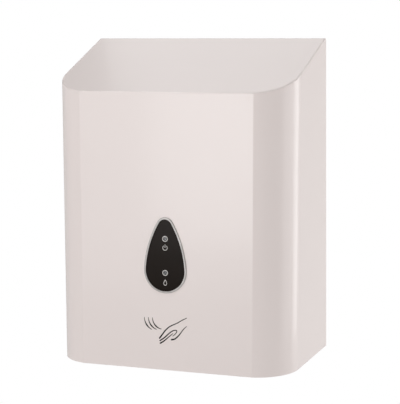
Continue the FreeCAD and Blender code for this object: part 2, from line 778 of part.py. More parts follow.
def make_module_frame():
    """Bridge with a deck for the tank, two side walls and feet on the tray."""
    half = DECK_HALF_WIDTH
    deck = flat_plate((-half, half), (DECK_FRONT, -9.5), (DECK_BOTTOM, DECK_TOP), 3)
    wall_y = (DECK_FRONT + 4, FRAME_BACK)
    wall = block((half - 2.5, half), wall_y, (TRAY_TOP, DECK_BOTTOM + 1))
    foot = block((half - 12, half), wall_y, (TRAY_TOP, FOOT_TOP))
    body = join([deck] + mirrored(wall) + mirrored(foot))
    body = body.cut(rod_z(6, PORT_X, PORT_Y, 70, 90))
    body = body.cut(flat_plate((18, 30), (-60, -30), (70, 90), 3))
    for x, y in FRAME_SCREWS:
        for side in (-1, 1):
            body = body.cut(rod_z(THREAD_RADIUS, side * x, y, 0, 20))
    for side in (-1, 1):
        body = body.cut(rod_z(THREAD_RADIUS, side * DISPLAY_SCREW[0], DISPLAY_SCREW[1], 70, 90))
        window = upright_plate((-14, 14), (-3, 3), (30, 58), 4)
        window.rotate(ORIGIN, Z_AXIS, 90)
        window.translate(Vector(side * half, -48, 0))
        body = body.cut(window)
    return body


# ---------------------------------------------------------------- tank

def rounded_block(x, y, z, radius):
    """Block with all its edges rounded."""
    solid = block(x, y, z)
    return solid.makeFillet(radius, solid.Edges)


def make_tank():
    """Soap tank with a filler neck, an outlet spigot, two side flanges and level marks."""
    half = TANK_HALF_WIDTH
    wall = TANK_WALL
    outer = rounded_block((-half, half), (TANK_FRONT, TANK_BACK), (DECK_TOP, TANK_TOP), TANK_ROUND)
    neck = rod_z(NECK_RADIUS, 0, NECK_Y, TANK_TOP - wall, NECK_TOP)
    spigot = rod_z(SPIGOT_RADIUS, PORT_X, PORT_Y, SPIGOT_BOTTOM, DECK_TOP + 1)
    flange = block((half - 1, CLIP_X - 6), FLANGE_Y, (CLIP_Z - 15, CLIP_Z + 15))
    pieces = [outer, neck, spigot] + mirrored(flange)
    for i in range(LEVEL_MARKS):
        z = LEVEL_LOW + LEVEL_STEP * i
        pieces.append(block((-62, -50), (TANK_FRONT - 0.8, TANK_FRONT + 1), (z - 0.6, z + 0.6)))
    body = join(pieces)
    inner = rounded_block((-half + wall, half - wall), (TANK_FRONT + wall, TANK_BACK - wall),
                          (DECK_TOP + wall, TANK_TOP - wall), TANK_ROUND - wall)
    body = body.cut(inner)
    body = body.cut(rod_z(NECK_RADIUS - NECK_WALL, 0, NECK_Y, TANK_TOP - 10, NECK_TOP + 5))
    return body.cut(rod_z(SPIGOT_BORE, PORT_X, PORT_Y, SPIGOT_BOTTOM - 2, DECK_TOP + 10))


def make_filler_cap():
    """Cap over the neck, with a ribbed skirt and a grip bar."""
    skirt = rod_z(CAP_RADIUS, 0, NECK_Y, CAP_BOTTOM, NECK_TOP + 4)
    top_edges = [edge for edge in skirt.Edges if edge.BoundBox.ZMin > NECK_TOP]
    skirt = skirt.makeFillet(1.2, top_edges)
    bar = flat_plate((-20, 20), (NECK_Y - 4, NECK_Y + 4), (NECK_TOP + 3, NECK_TOP + 10), 3.9)
    ribs = []
    for i in range(CAP_RIBS):
        angle = 2 * math.pi * i / CAP_RIBS
        x = CAP_RADIUS * math.cos(angle)
        y = NECK_Y + CAP_RADIUS * math.sin(angle)
        ribs.append(rod_z(0.9, x, y, CAP_BOTTOM + 1, NECK_TOP + 2))
    body = join([skirt, bar] + ribs)
    return body.cut(rod_z(NECK_RADIUS + 0.4, 0, NECK_Y, 230, NECK_TOP + 1.5))


def make_cap_seal():
    """Flat ring between the neck and the cap."""
    return rod_z(NECK_RADIUS, 0, NECK_Y, NECK_TOP + 0.1, NECK_TOP + 1.5).cut(
        rod_z(NECK_RADIUS - 2.8, 0, NECK_Y, NECK_TOP, NECK_TOP + 3))


def tank_clip():
    """Right-hand turn button, at rest pointing inwards over the tank's flange."""
    clip = hull((0, 0), 5, (6.5, 0), 4.2, 3)
    clip.rotate(ORIGIN, Z_AXIS, 180)
    clip = clip.cut(Part.makeCylinder(CLIP_SHOULDER_RADIUS + RUNNING, 5))
    return face_front(clip, CLIP_X, CLIP_POST_FRONT - 0.2, CLIP_Z)


def make_clip_screws():
    """Shoulder screws that the tank clips turn on."""
    shoulder = rod_y(CLIP_SHOULDER_RADIUS, CLIP_X, CLIP_Z, CLIP_POST_FRONT, CLIP_HEAD_BACK)
    thread = rod_y(THREAD_RADIUS, CLIP_X, CLIP_Z, CLIP_POST_FRONT + 8, CLIP_POST_FRONT)
    head = rod_y(3.6, CLIP_X, CLIP_Z, CLIP_HEAD_BACK, CLIP_HEAD_BACK - 2)
    slot_y = (CLIP_HEAD_BACK - 3, CLIP_HEAD_BACK - 1.1)
    slot = block((CLIP_X - 0.5, CLIP_X + 0.5), slot_y, (CLIP_Z - 3, CLIP_Z + 3))
    return group(mirrored(join([shoulder, thread, head]).cut(slot)))


# ---------------------------------------------------------------- pump and drive

def pump_stadium(radius, y_back, y_front):
    """Solid around both of the pump's gear axes."""
    shape = hull((0, 0), radius, (PUMP_SPACING, 0), radius, y_back - y_front)
    return face_front(shape, PUMP_X, y_back, DRIVE_Z)


def pump_screw_places():
    """Places of the pump's four screws, around its two axes."""
    places = []
    for x, angles in ((PUMP_X, (120, 240)), (PUMP_X + PUMP_SPACING, (60, -60))):
        for angle in angles:
            across = PUMP_SCREW_REACH * math.cos(math.radians(angle))
            up = PUMP_SCREW_REACH * math.sin(math.radians(angle))
            places.append((x + across, DRIVE_Z + up))
    return places


def make_pump_housing():
    """Pump body with a chamber for the two gears, an inlet above and a channel to the outlet."""
    body = pump_stadium(PUMP_WALL_RADIUS, GEAR_PLATE_FRONT, PUMP_COVER_BACK)
    inlet = rod_z(SPIGOT_RADIUS, PORT_X, PORT_Y, DRIVE_Z + 10, SPIGOT_BOTTOM - 2)
    body = join([body, inlet])
    chamber_radius = PUMP_MODULE * (PUMP_TEETH / 2 + 1) + 0.2
    for x in (PUMP_X, PUMP_X + PUMP_SPACING):
        body = body.cut(rod_y(chamber_radius, x, DRIVE_Z, -35, PUMP_COVER_BACK - 1))
    body = body.cut(rod_z(PORT_BORE, PORT_X, PORT_Y, DRIVE_Z, SPIGOT_BOTTOM))
    body = body.cut(block((PORT_X - 2, PORT_X + 2), (PUMP_COVER_BACK - 1, -38), (OUTLET_Z - 3, DRIVE_Z)))
    body = body.cut(rod_y(SHAFT_RADIUS + RUNNING, PUMP_X, DRIVE_Z, -30, -36))
    body = body.cut(rod_y(SHAFT_RADIUS + RUNNING, PUMP_X + PUMP_SPACING, DRIVE_Z, -33, -36))
    for x, z in pump_screw_places():
        body = body.cut(rod_y(PUMP_SCREW_RADIUS, x, z, -42, PUMP_COVER_BACK - 1))
    return body


def make_pump_cover():
    """Cover plate over the pump's gears, with the outlet nipple."""
    plate = pump_stadium(PUMP_WALL_RADIUS, PUMP_COVER_BACK, PUMP_COVER_FRONT)
    nipple = rod_y(NIPPLE_RADIUS, PORT_X, OUTLET_Z, PUMP_COVER_FRONT + 1, NIPPLE_FRONT)
    bore = rod_y(NIPPLE_BORE, PORT_X, OUTLET_Z, PUMP_COVER_BACK + 1, NIPPLE_FRONT - 1)
    body = join([plate, nipple]).cut(bore)
    for x in (PUMP_X, PUMP_X + PUMP_SPACING):
        body = body.cut(rod_y(SHAFT_RADIUS + RUNNING, x, DRIVE_Z, -51, SHAFT_FRONT - 0.2))
    for x, z in pump_screw_places():
        body = body.cut(rod_y(PUMP_SCREW_RADIUS, x, z, PUMP_COVER_BACK + 1, PUMP_COVER_FRONT - 1))
    return body


def make_pump_screws():
    """Four screws that close the pump."""
    screws = []
    for x, z in pump_screw_places():
        screws.append(screw_front(PUMP_SCREW_RADIUS, 11, x, PUMP_COVER_FRONT, z))
    return group(screws)


def pump_gear():
    """Either of the pump's two equal gears, without a bore."""
    width = PUMP_GEAR_BACK - PUMP_GEAR_FRONT
    return gear(PUMP_TEETH, PUMP_MODULE, width, 0, BACKLASH)


def make_pump_drive_gear():
    """Driven pump gear in one piece with the shaft that carries the drive wheel."""
    toothed = gear_front(pump_gear(), PUMP_X, PUMP_GEAR_BACK)
    return join([toothed, rod_y(SHAFT_RADIUS, PUMP_X, DRIVE_Z, -21.4, SHAFT_FRONT)])


def make_pump_idler_gear():
    """Second pump gear, on its own short journals."""
    toothed = pump_gear()
    toothed.rotate(ORIGIN, Z_AXIS, 180 / PUMP_TEETH)
    x = PUMP_X + PUMP_SPACING
    journals = rod_y(SHAFT_RADIUS, x, DRIVE_Z, -33.3, SHAFT_FRONT)
    return join([gear_front(toothed, x, PUMP_GEAR_BACK), journals])


def make_drive_wheel():
    """Large gear on the pump's shaft, with a hub and lightening holes."""
    wheel = gear(WHEEL_TEETH, DRIVE_MODULE, GEAR_BACK - GEAR_FRONT, SHAFT_RADIUS, BACKLASH)
    reach = 12.2
    for i in range(6):
        angle = math.radians(60 * i + 30)
        centre = Vector(reach * math.cos(angle), reach * math.sin(angle), -1)
        wheel = wheel.cut(Part.makeCylinder(4.2, 10, centre))
    return gear_front(wheel, PUMP_X, GEAR_BACK)


def make_motor_pinion():
    """Small gear on the motor's shaft."""
    pinion = gear(PINION_TEETH, DRIVE_MODULE, GEAR_BACK - GEAR_FRONT, MOTOR_SHAFT_RADIUS, BACKLASH)
    pinion.rotate(ORIGIN, Z_AXIS, 180 / PINION_TEETH)
    return gear_front(pinion, MOTOR_X, GEAR_BACK)


def make_motor_shaft():
    """Motor shaft through the can."""
    return rod_y(MOTOR_SHAFT_RADIUS, MOTOR_X, DRIVE_Z, GEAR_BACK + 0.6, MOTOR_FRONT + 6)


def make_motor_can():
    """Steel can with two flats and a front boss."""
    can = rod_y(MOTOR_RADIUS, MOTOR_X, DRIVE_Z, GEAR_PLATE_FRONT, MOTOR_FRONT)
    end_edges = [edge for edge in can.Edges if edge.BoundBox.YMax < MOTOR_FRONT + 1]
    can = can.makeFillet(1.5, end_edges)
    flats = (DRIVE_Z - MOTOR_FLAT, DRIVE_Z + MOTOR_FLAT)
    can = can.common(block((MOTOR_X - 20, MOTOR_X + 20), (-70, -30), flats))
    boss = rod_y(MOTOR_BOSS_RADIUS, MOTOR_X, DRIVE_Z, GEAR_PLATE_BACK - 0.2, GEAR_PLATE_FRONT - 1)
    shaft_hole = rod_y(MOTOR_SHAFT_RADIUS + RUNNING, MOTOR_X, DRIVE_Z, -20, MOTOR_FRONT + 5)
    body = join([can, boss]).cut(shaft_hole)
    for z in motor_screw_heights():
        body = body.cut(rod_y(MOTOR_SCREW_RADIUS, MOTOR_X, z, -30, -38))
    return body


def motor_screw_heights():
    """Heights of the motor's two screws."""
    return (DRIVE_Z - MOTOR_SCREW_REACH, DRIVE_Z + MOTOR_SCREW_REACH)


def make_motor_end_cap():
    """Plastic end cap with two solder tabs."""
    cap_front = MOTOR_FRONT - 3
    cap = rod_y(11.5, MOTOR_X, DRIVE_Z, MOTOR_FRONT, cap_front)
    front_edges = [edge for edge in cap.Edges if edge.BoundBox.YMax < cap_front + 1]
    cap = cap.makeFillet(0.8, front_edges)
    cap = cap.fuse(rod_y(4.5, MOTOR_X, DRIVE_Z, cap_front + 1, cap_front - 2))
    tabs = []
    for x in (MOTOR_X - 5, MOTOR_X + 5):
        tabs.append(block((x - 1.5, x + 1.5), (cap_front - 4, cap_front + 1), (DRIVE_Z + 6, DRIVE_Z + 6.6)))
    return join([cap] + tabs)


def motor_screw(z):
    """Countersunk screw that holds the motor on the gear plate."""
    shank = rod_y(MOTOR_SCREW_RADIUS, MOTOR_X, z, GEAR_PLATE_BACK - 0.2, -37)
    head = Part.makeCone(2.4, MOTOR_SCREW_RADIUS, 1.3, Vector(MOTOR_X, GEAR_PLATE_BACK - 0.1, z), FRONT)
    return join([shank, head])


def make_motor_screws():
    """Two screws that hold the motor."""
    return group([motor_screw(z) for z in motor_screw_heights()])


def make_gear_plate():
    """Metal plate between the gears and the pump with its motor."""
    plate = upright_plate(GEAR_PLATE_X, (GEAR_PLATE_FRONT, GEAR_PLATE_BACK), GEAR_PLATE_Z, 4)
    plate = plate.cut(rod_y(SHAFT_RADIUS + RUNNING, PUMP_X, DRIVE_Z, -25, -35))
    plate = plate.cut(rod_y(MOTOR_BOSS_RADIUS + 0.1, MOTOR_X, DRIVE_Z, -25, -35))
    for z in motor_screw_heights():
        plate = plate.cut(motor_screw(z))
        plate = plate.cut(rod_y(MOTOR_SCREW_RADIUS, MOTOR_X, z, -25, -35))
        plate = plate.cut(rod_y(2.4, MOTOR_X, z, -25, GEAR_PLATE_BACK - 0.1))
    for x, z in GEAR_POSTS:
        plate = plate.cut(rod_y(THREAD_RADIUS, x, z, -25, -35))
    return plate


def make_gear_cover():
    """Shell behind the gear plate that keeps the gears clean."""
    room = 0.8
    floor = 1.8
    wall = GEAR_COVER_WALL
    depth = GEAR_COVER_DEPTH
    wheel_radius = DRIVE_MODULE * (WHEEL_TEETH / 2 + 1) + room
    pinion_radius = DRIVE_MODULE * (PINION_TEETH / 2 + 1) + room
    spacing = PUMP_X - MOTOR_X
    outer = hull((0, 0), pinion_radius + wall, (spacing, 0), wheel_radius + wall, depth)
    inner = hull((0, 0), pinion_radius, (spacing, 0), wheel_radius, depth)
    inner.translate(Vector(0, 0, floor))
    return face_front(outer.cut(inner), MOTOR_X, GEAR_PLATE_BACK + depth, DRIVE_Z)


# ---------------------------------------------------------------- tubes and nozzle

def make_feed_tube():
    """Soft tube from the tank's spigot down to the pump."""
    tube = rod_z(FEED_OUTER, PORT_X, PORT_Y, 53.5, 74)
    return tube.cut(rod_z(SPIGOT_RADIUS + RUNNING, PORT_X, PORT_Y, 50, 80))


def delivery_points():
    """Route of the delivery tube: forward from the pump, then across to the nozzle."""
    start = Vector(PORT_X, PUMP_COVER_FRONT - 2, OUTLET_Z)
    corner = Vector(PORT_X, NOZZLE_Y, OUTLET_Z)
    return [start, corner, Vector(-7.5, NOZZLE_Y, OUTLET_Z)]


def make_delivery_tube():
    """Soft tube from the pump to the nozzle."""
    outer = bent_rod(delivery_points(), DELIVERY_BEND, DELIVERY_OUTER)
    return outer.cut(bent_rod(delivery_points(), DELIVERY_BEND, NIPPLE_RADIUS + RUNNING))


def make_hose_clips():
    """Spring bands over the four tube ends."""
    clips = []
    for z in (55.0, 68.0):
        band = rod_z(FEED_OUTER + HOSE_CLIP, PORT_X, PORT_Y, z, z + 4)
        clips.append(band.cut(rod_z(FEED_OUTER, PORT_X, PORT_Y, z - 1, z + 5)))
    band = rod_y(DELIVERY_OUTER + HOSE_CLIP, PORT_X, OUTLET_Z, -58, -61.5)
    clips.append(band.cut(rod_y(DELIVERY_OUTER, PORT_X, OUTLET_Z, -57, -63)))
    start = Vector(-12, NOZZLE_Y, OUTLET_Z)
    end = Vector(-8.5, NOZZLE_Y, OUTLET_Z)
    clips.append(rod(DELIVERY_OUTER + HOSE_CLIP, start, end).cut(rod(DELIVERY_OUTER, start, end)))
    return group(clips)


def make_nozzle_body():
    """Upright nozzle with a side nipple, a flange on the tray and a threaded end."""
    stem = rod_z(NOZZLE_STEM_RADIUS, 0, NOZZLE_Y, TRAY_TOP, NOZZLE_TOP)
    stem_top = [edge for edge in stem.Edges if edge.BoundBox.ZMin > NOZZLE_TOP - 1]
    stem = stem.makeFillet(1.5, stem_top)
    flange = rod_z(11, 0, NOZZLE_Y, TRAY_TOP, 8)
    thread = rod_z(NOZZLE_THREAD_RADIUS, 0, NOZZLE_Y, 0, TRAY_TOP + 1)
    nipple = rod(NIPPLE_RADIUS, Vector(-5, NOZZLE_Y, OUTLET_Z), Vector(-16, NOZZLE_Y, OUTLET_Z))
    body = join([stem, flange, thread, nipple])
    body = body.cut(rod_z(NOZZLE_BORE, 0, NOZZLE_Y, 5, OUTLET_Z + 2))
    body = body.cut(rod_z(TIP_RADIUS, 0, NOZZLE_Y, -1, 5.2))
    return body.cut(rod(NOZZLE_BORE, Vector(0, NOZZLE_Y, OUTLET_Z), Vector(-17, NOZZLE_Y, OUTLET_Z)))


def make_nozzle_nut():
    """Nut that holds the nozzle under the tray."""
    return hex_nut(20, NOZZLE_THREAD_RADIUS, 0, NOZZLE_Y, 0.2, TRAY_BOTTOM)


def make_nozzle_tip():
    """Soft tip with a slit, which closes when the pump stops."""
    collar = rod_z(TIP_RADIUS, 0, NOZZLE_Y, 0, 5)
    taper = Part.makeCone(2.6, TIP_RADIUS, 3, Vector(0, NOZZLE_Y, -3), Z_AXIS)
    slit = block((-1.8, 1.8), (NOZZLE_Y - 0.3, NOZZLE_Y + 0.3), (-4, -1))
    return join([collar, taper]).cut(rod_z(2.2, 0, NOZZLE_Y, -1.5, 6)).cut(slit)


# ---------------------------------------------------------------- hand sensor

def make_sensor_window():
    """Dark window in the tray, with a flange on the inside."""
    half_x = SENSOR_SIZE[0] / 2 - 0.2
    half_y = SENSOR_SIZE[1] / 2 - 0.2
    pane = flat_plate((-half_x, half_x), (SENSOR_Y - half_y, SENSOR_Y + half_y), (2.6, TRAY_TOP + 0.5), 2.8)
    flange = flat_plate((-half_x - 2, half_x + 2), (SENSOR_Y - half_y - 2, SENSOR_Y + half_y + 2),
                        (TRAY_TOP, TRAY_TOP + 1), 3)
    return join([pane, flange])


def make_sensor_holder():
    """Black holder with a well for each diode and two screw ears."""
    core = flat_plate((-17, 17), (SENSOR_Y - 7, SENSOR_Y + 7), (TRAY_TOP + 1, SENSOR_BOARD_Z[0]), 2)
    ear = flat_plate((16, 28), (SENSOR_Y - 4, SENSOR_Y + 4), (9, 11), 3)
    post = rod_z(3.4, SENSOR_SCREW_X, SENSOR_Y, TRAY_TOP, 10)
    body = join([core] + mirrored(ear) + mirrored(post))
    for side in (-1, 1):
        body = body.cut(rod_z(2.6, side * DIODE_X, SENSOR_Y, 0, 30))
        body = body.cut(rod_z(THREAD_RADIUS, side * SENSOR_SCREW_X, SENSOR_Y, 0, 30))
    return body


def round_diode(length, lead):
    """Round light source that points to +Z, with its two leads behind it."""
    radius = 2.45
    body = Part.makeCylinder(radius, length - radius)
    dome = Part.makeSphere(radius, Vector(0, 0, length - radius))
    leads = [Part.makeCylinder(LEAD_RADIUS, lead + 1, Vector(x, 0, -lead)) for x in (-LEAD_X, LEAD_X)]
    return join([body, dome] + leads)


def make_sensor_diodes():
    """Infra-red sender and receiver, both pointing down."""
    diodes = []
    for x in (-DIODE_X, DIODE_X):
        diode = round_diode(8.6, 12)
        diode.rotate(ORIGIN, X_AXIS, 180)
        diode.translate(Vector(x, SENSOR_Y, 16))
        diodes.append(diode)
    return group(diodes)


def make_sensor_board():
    """Small board on top of the sensor holder."""
    board = flat_plate((-18, 18), (SENSOR_Y - 8, SENSOR_Y + 8), SENSOR_BOARD_Z, 1)
    for x in (-DIODE_X, DIODE_X):
        for lead in (-LEAD_X, LEAD_X):
            board = board.cut(rod_z(LEAD_RADIUS + 0.02, x + lead, SENSOR_Y, 20, 26))
    chip_z = (SENSOR_BOARD_Z[1], SENSOR_BOARD_Z[1] + 1.4)
    chip = block((-3, 3), (SENSOR_Y - 3, SENSOR_Y + 3), chip_z)
    return join([board, chip])


# ---------------------------------------------------------------- control board

def make_control_board():
    """Circuit board on four posts of the wall plate."""
    board = upright_plate(BOARD_X, (BOARD_FRONT, BOARD_BACK), BOARD_Z, 1.5)
    for x, z in BOARD_POSTS:
        board = board.cut(rod_y(THREAD_RADIUS, x, z, -5, -20))
    return board


def board_chips():
    """Controller, driver and regulator chips."""
    controller = block((10, 22), (BOARD_FRONT - 2, BOARD_FRONT), (24, 36))
    driver = block((27, 32), (BOARD_FRONT - 1.6, BOARD_FRONT), (26, 32))
    regulator = block((-2, 5), (BOARD_FRONT - 3.5, BOARD_FRONT), (44, 54))
    return [controller, driver, regulator]


def board_capacitors():
    """Three round capacitors that stand on the board."""
    capacitors = []
    for x, z, radius, height in ((3, 30, 4, 9), (22, 44, 3.2, 8), (33, 42, 3.2, 8)):
        can = rod_y(radius, x, z, BOARD_FRONT, BOARD_FRONT - height)
        front_edges = [edge for edge in can.Edges if edge.BoundBox.YMax < BOARD_FRONT - height / 2]
        capacitors.append(can.makeFillet(0.6, front_edges))
    return capacitors


def make_board_components():
    """Chips and capacitors on the control board."""
    return group(board_chips() + board_capacitors())


def make_board_connectors():
    """White sockets that the cables plug into."""
    sockets = []
    for x, z in CONNECTORS:
        shell = block((x - 4, x + 4), (BOARD_FRONT - 6, BOARD_FRONT), (z - 2.8, z + 2.8))
        mouth = block((x - 3, x + 3), (BOARD_FRONT - 7, BOARD_FRONT - 1.5), (z - 1.8, z + 1.8))
        sockets.append(shell.cut(mouth))
    return group(sockets)


# ---------------------------------------------------------------- batteries

def make_battery_box():
    """Box with an open front, grooves for its sliding door and feet on the tray."""
    box = block(BOX_X, BOX_Y, BOX_Z)
    inside_x = (BOX_X[0] + BOX_SIDE, BOX_X[1] - BOX_SIDE)
    hollow = block(inside_x, (BOX_Y[0] - 1, BOX_Y[1] - 2), (BOX_Z[0] + 2, BOX_Z[1] - 2))
    groove_y = (DOOR_Y[0] - 0.2, DOOR_Y[1] + 0.2)
    groove = block((BOX_X[0] + 1.5, BOX_X[1] - 1.5), groove_y, (BOX_Z[0] + 1, BOX_Z[1] + 1))
    rib_gap = block((DOOR_RIBS_X[0] - 1, DOOR_RIBS_X[1] + 1), (-90, -86), (BOX_Z[1] - 3, BOX_Z[1] + 1))
    box = box.cut(hollow).cut(groove).cut(rib_gap)
    shelf = block((BOX_X[0] + 6, BOX_X[1] - 6), (-84, BOX_Y[1] - 1), (39.7, 41.3))
    feet = []
    for x in (40.0, 80.0):
        for y in (-80.0, -36.0):
            feet.append(block((x, x + 6), (y, y + 6), (TRAY_TOP, BOX_Z[0] + 1)))
    lead_hole = rod(1.6, Vector(BOX_X[0] - 1, -40, 64), Vector(BOX_X[0] + 5, -40, 64))
    return join([box, shelf] + feet).cut(lead_hole)


def make_battery_door():
    """Door that slides up in the box's grooves, with grip ribs."""
    door = block((BOX_X[0] + 1.6, BOX_X[1] - 1.6), DOOR_Y, (BOX_Z[0] + 1.2, BOX_Z[1] - 0.2))
    ribs = []
    for z in DOOR_RIBS_Z:
        ribs.append(block(DOOR_RIBS_X, (DOOR_Y[0] - 1.2, DOOR_Y[0] + 1), (z - 0.6, z + 0.6)))
    return join([door] + ribs)


def cell_places():
    """Depth and height of the four cells, and whether each points to the left."""
    return [(y, z, z < DRIVE_Z) for y in CELL_YS for z in CELL_ZS]


def battery_cell(y, z, to_left):
    """One cell, whose raised contact touches the plate at that end."""
    if to_left:
        tip = CONTACT_X[0]
        away = 1
    else:
        tip = CONTACT_X[1]
        away = -1
    shoulder = tip + away * CELL_NUB
    nub = rod(4, Vector(tip, y, z), Vector(shoulder + away, y, z))
    can = rod(CELL_RADIUS, Vector(shoulder, y, z), Vector(tip + away * CELL_LENGTH, y, z))
    ends = [edge for edge in can.Edges if edge.BoundBox.XLength < 0.1]
    return join([can.makeFillet(1.0, ends), nub])


def make_battery_cells():
    """Four C cells."""
    return group([battery_cell(y, z, to_left) for y, z, to_left in cell_places()])


def contact_spring(y, z, to_left):
    """Bent leaf between a contact plate and the flat end of a cell that points to the other plate."""
    leaf = CONTACT_THICKNESS
    clear = RUNNING
    half_width = 3.0
    crest = CONTACT_X[1] - CONTACT_X[0] - CELL_LENGTH - leaf - clear
    profile = [(clear, -6.5), (clear, -5), (crest, -1.5), (crest, 1.5), (1.5, 6)]
    profile += [(x + leaf, height) for x, height in reversed(profile)]
    if to_left:
        plate = CONTACT_X[1]
        away = -1
    else:
        plate = CONTACT_X[0]
        away = 1
    corners = [Vector(plate + away * x, y - half_width, z + height) for x, height in profile]
    outline = Part.makePolygon(corners + corners[:1])
    return Part.Face(outline).extrude(Vector(0, 2 * half_width, 0))


def make_battery_springs():
    """Four leaf springs, one behind each cell."""
    return group([contact_spring(y, z, to_left) for y, z, to_left in cell_places()])


def make_battery_contacts():
    """Contact plates at both ends of the box."""
    plates = []
    for z in CELL_ZS:
        for x in (BOX_X[0] + BOX_SIDE, CONTACT_X[1]):
            plates.append(block((x, x + CONTACT_THICKNESS), (-76, -30), (z - 7, z + 7)))
    return group(plates)


# ---------------------------------------------------------------- display housing

def make_display_housing():
    """Box behind the window, open at the back, on a tongue under the deck."""
    half = DISPLAY_HALF_WIDTH
    wall = DISPLAY_WALL
    outer = upright_plate((-half, half), DISPLAY_Y, DISPLAY_Z, 4)
    inner = upright_plate((-half + wall, half - wall), (DISPLAY_Y[0] + wall, DISPLAY_Y[1] + 5),
                          (DISPLAY_Z[0] + wall, DISPLAY_Z[1] - wall), 2.5)
    tongue = block((-20, 20), (-107, -78), (75, DECK_BOTTOM))
    body = outer.cut(inner)
    tongue = tongue.cut(block((-half + wall, half - wall), (-120, -105.5), (70, 80)))
    side_web = prism_x([(-107, 62), (-107, 76), (-90, 76)], (18, 20))
    bridge = block((-half, half), (-107.5, -105), (75, DECK_BOTTOM))
    body = join([body, tongue, bridge] + mirrored(side_web))
    for z in LIGHT_HEIGHTS:
        body = body.cut(rod_y(2.6, 0, z, -120, -130))
    slot = upright_plate((SWITCH_X - 2.6, SWITCH_X + 2.6), (-130, -120), (SWITCH_Z - 3, SWITCH_Z + 7), 1)
    body = body.cut(slot)
    body = body.cut(rod_y(DIAL_RADIUS + 0.6, DIAL_X, DIAL_Z, -120, -130))
    for side in (-1, 1):
        body = body.cut(rod_z(THREAD_RADIUS, side * DISPLAY_SCREW[0], DISPLAY_SCREW[1], 70, 80))
    return body


def make_display_board():
    """Circuit board inside the display housing."""
    inset = DISPLAY_WALL + 0.6
    half = DISPLAY_HALF_WIDTH - inset
    height = (DISPLAY_Z[0] + inset, DISPLAY_Z[1] - inset)
    board = upright_plate((-half, half), DISPLAY_BOARD_Y, height, 2)
    for z in LIGHT_HEIGHTS:
        for x in (-LEAD_X, LEAD_X):
            board = board.cut(rod_y(LEAD_RADIUS + 0.02, x, z, -105, -112))
    return board


def make_status_leds():
    """Two status lights on the display board."""
    return group([face_front(round_diode(7, 2), 0, DISPLAY_BOARD_Y[0], z) for z in LIGHT_HEIGHTS])


def make_light_pipes():
    """Two clear rods that carry the light to the window."""
    pipes = []
    for z in LIGHT_HEIGHTS:
        rod_shape = rod_y(2.5, 0, z, -117.2, -127.5)
        collar = rod_y(3.6, 0, z, -120.2, -122.1)
        pipes.append(join([rod_shape, collar]))
    return group(pipes)


def make_control_bases():
    """Bodies of the slide switch and of the dose dial's control, on the display board."""
    board = DISPLAY_BOARD_Y[0]
    switch = block((SWITCH_X - 4, SWITCH_X + 4), (board - 7.5, board), (SWITCH_Z - 4, SWITCH_Z + 8))
    guide_z = (SWITCH_Z - 2.5, SWITCH_Z + 6.5)
    guide = block((SWITCH_X - 1.2, SWITCH_X + 1.2), (board - 8, board - 4), guide_z)
    half = 5.5
    dial = block((DIAL_X - half, DIAL_X + half), (board - 6.5, board), (DIAL_Z - half, DIAL_Z + half))
    bore = rod_y(2 + RUNNING, DIAL_X, DIAL_Z, board - 3, board - 8)
    return group([switch.cut(guide), dial.cut(bore)])


def make_switch_slider():
    """Ribbed knob of the slide switch, at rest in its lower place."""
    knob = block((SWITCH_X - 2, SWITCH_X + 2), (-126, -118), (SWITCH_Z - 2, SWITCH_Z + 2))
    stem = block((SWITCH_X - 0.9, SWITCH_X + 0.9), (-119, -114.5), (SWITCH_Z - 1.5, SWITCH_Z + 1.5))
    body = join([knob, stem])
    for z in (SWITCH_Z - 1.2, SWITCH_Z, SWITCH_Z + 1.2):
        body = body.cut(block((SWITCH_X - 3, SWITCH_X + 3), (-127, -125.5), (z - 0.25, z + 0.25)))
    return body


def make_dose_dial():
    """Dose dial with a grip edge and a pointer groove."""
    knob = rod_y(DIAL_RADIUS, DIAL_X, DIAL_Z, -117.5, -125.5)
    front_edges = [edge for edge in knob.Edges if edge.BoundBox.YMax < -125]
    knob = knob.makeFillet(0.8, front_edges)
    knob = knob.fuse(rod_y(2, DIAL_X, DIAL_Z, -113.4, -118)).removeSplitter()
    grip = DIAL_RADIUS + 0.3
    for i in range(DIAL_GRIPS):
        angle = 2 * math.pi * i / DIAL_GRIPS
        x = DIAL_X + grip * math.cos(angle)
        z = DIAL_Z + grip * math.sin(angle)
        knob = knob.cut(rod_y(0.7, x, z, -119, -127))
    return knob.cut(block((DIAL_X - 0.5, DIAL_X + 0.5), (-127, -124.9), (DIAL_Z, DIAL_Z + 6)))


# ---------------------------------------------------------------- fasteners and wiring

def make_case_screws():
    """Equal small screws that hold the tray, frame, strike, sensor, board, gear plate and display."""
    screws = []
    for x in TRAY_SCREWS_X:
        screws.append(screw_front(THREAD_RADIUS, 6, x, TRAY_TAB_FRONT, TRAY_SCREW_Z))
    for x, z in GEAR_POSTS:
        screws.append(screw_front(THREAD_RADIUS, 8, x, GEAR_PLATE_FRONT, z))
    for x, z in BOARD_POSTS:
        screws.append(screw_front(THREAD_RADIUS, 6, x, BOARD_FRONT, z))
    for side in (-1, 1):
        for x, y in FRAME_SCREWS:
            screws.append(screw_down(THREAD_RADIUS, 5, side * x, y, FOOT_TOP))
        strike_x = side * STRIKE_SCREW[0]
        screws.append(screw_down(THREAD_RADIUS, 4, strike_x, STRIKE_SCREW[1], TRAY_TOP + 1.5))
        screws.append(screw_down(THREAD_RADIUS, 8, side * SENSOR_SCREW_X, SENSOR_Y, 11))
        screws.append(screw_down(THREAD_RADIUS, 5.5, side * DISPLAY_SCREW[0], DISPLAY_SCREW[1], DECK_TOP))
    return group(screws)


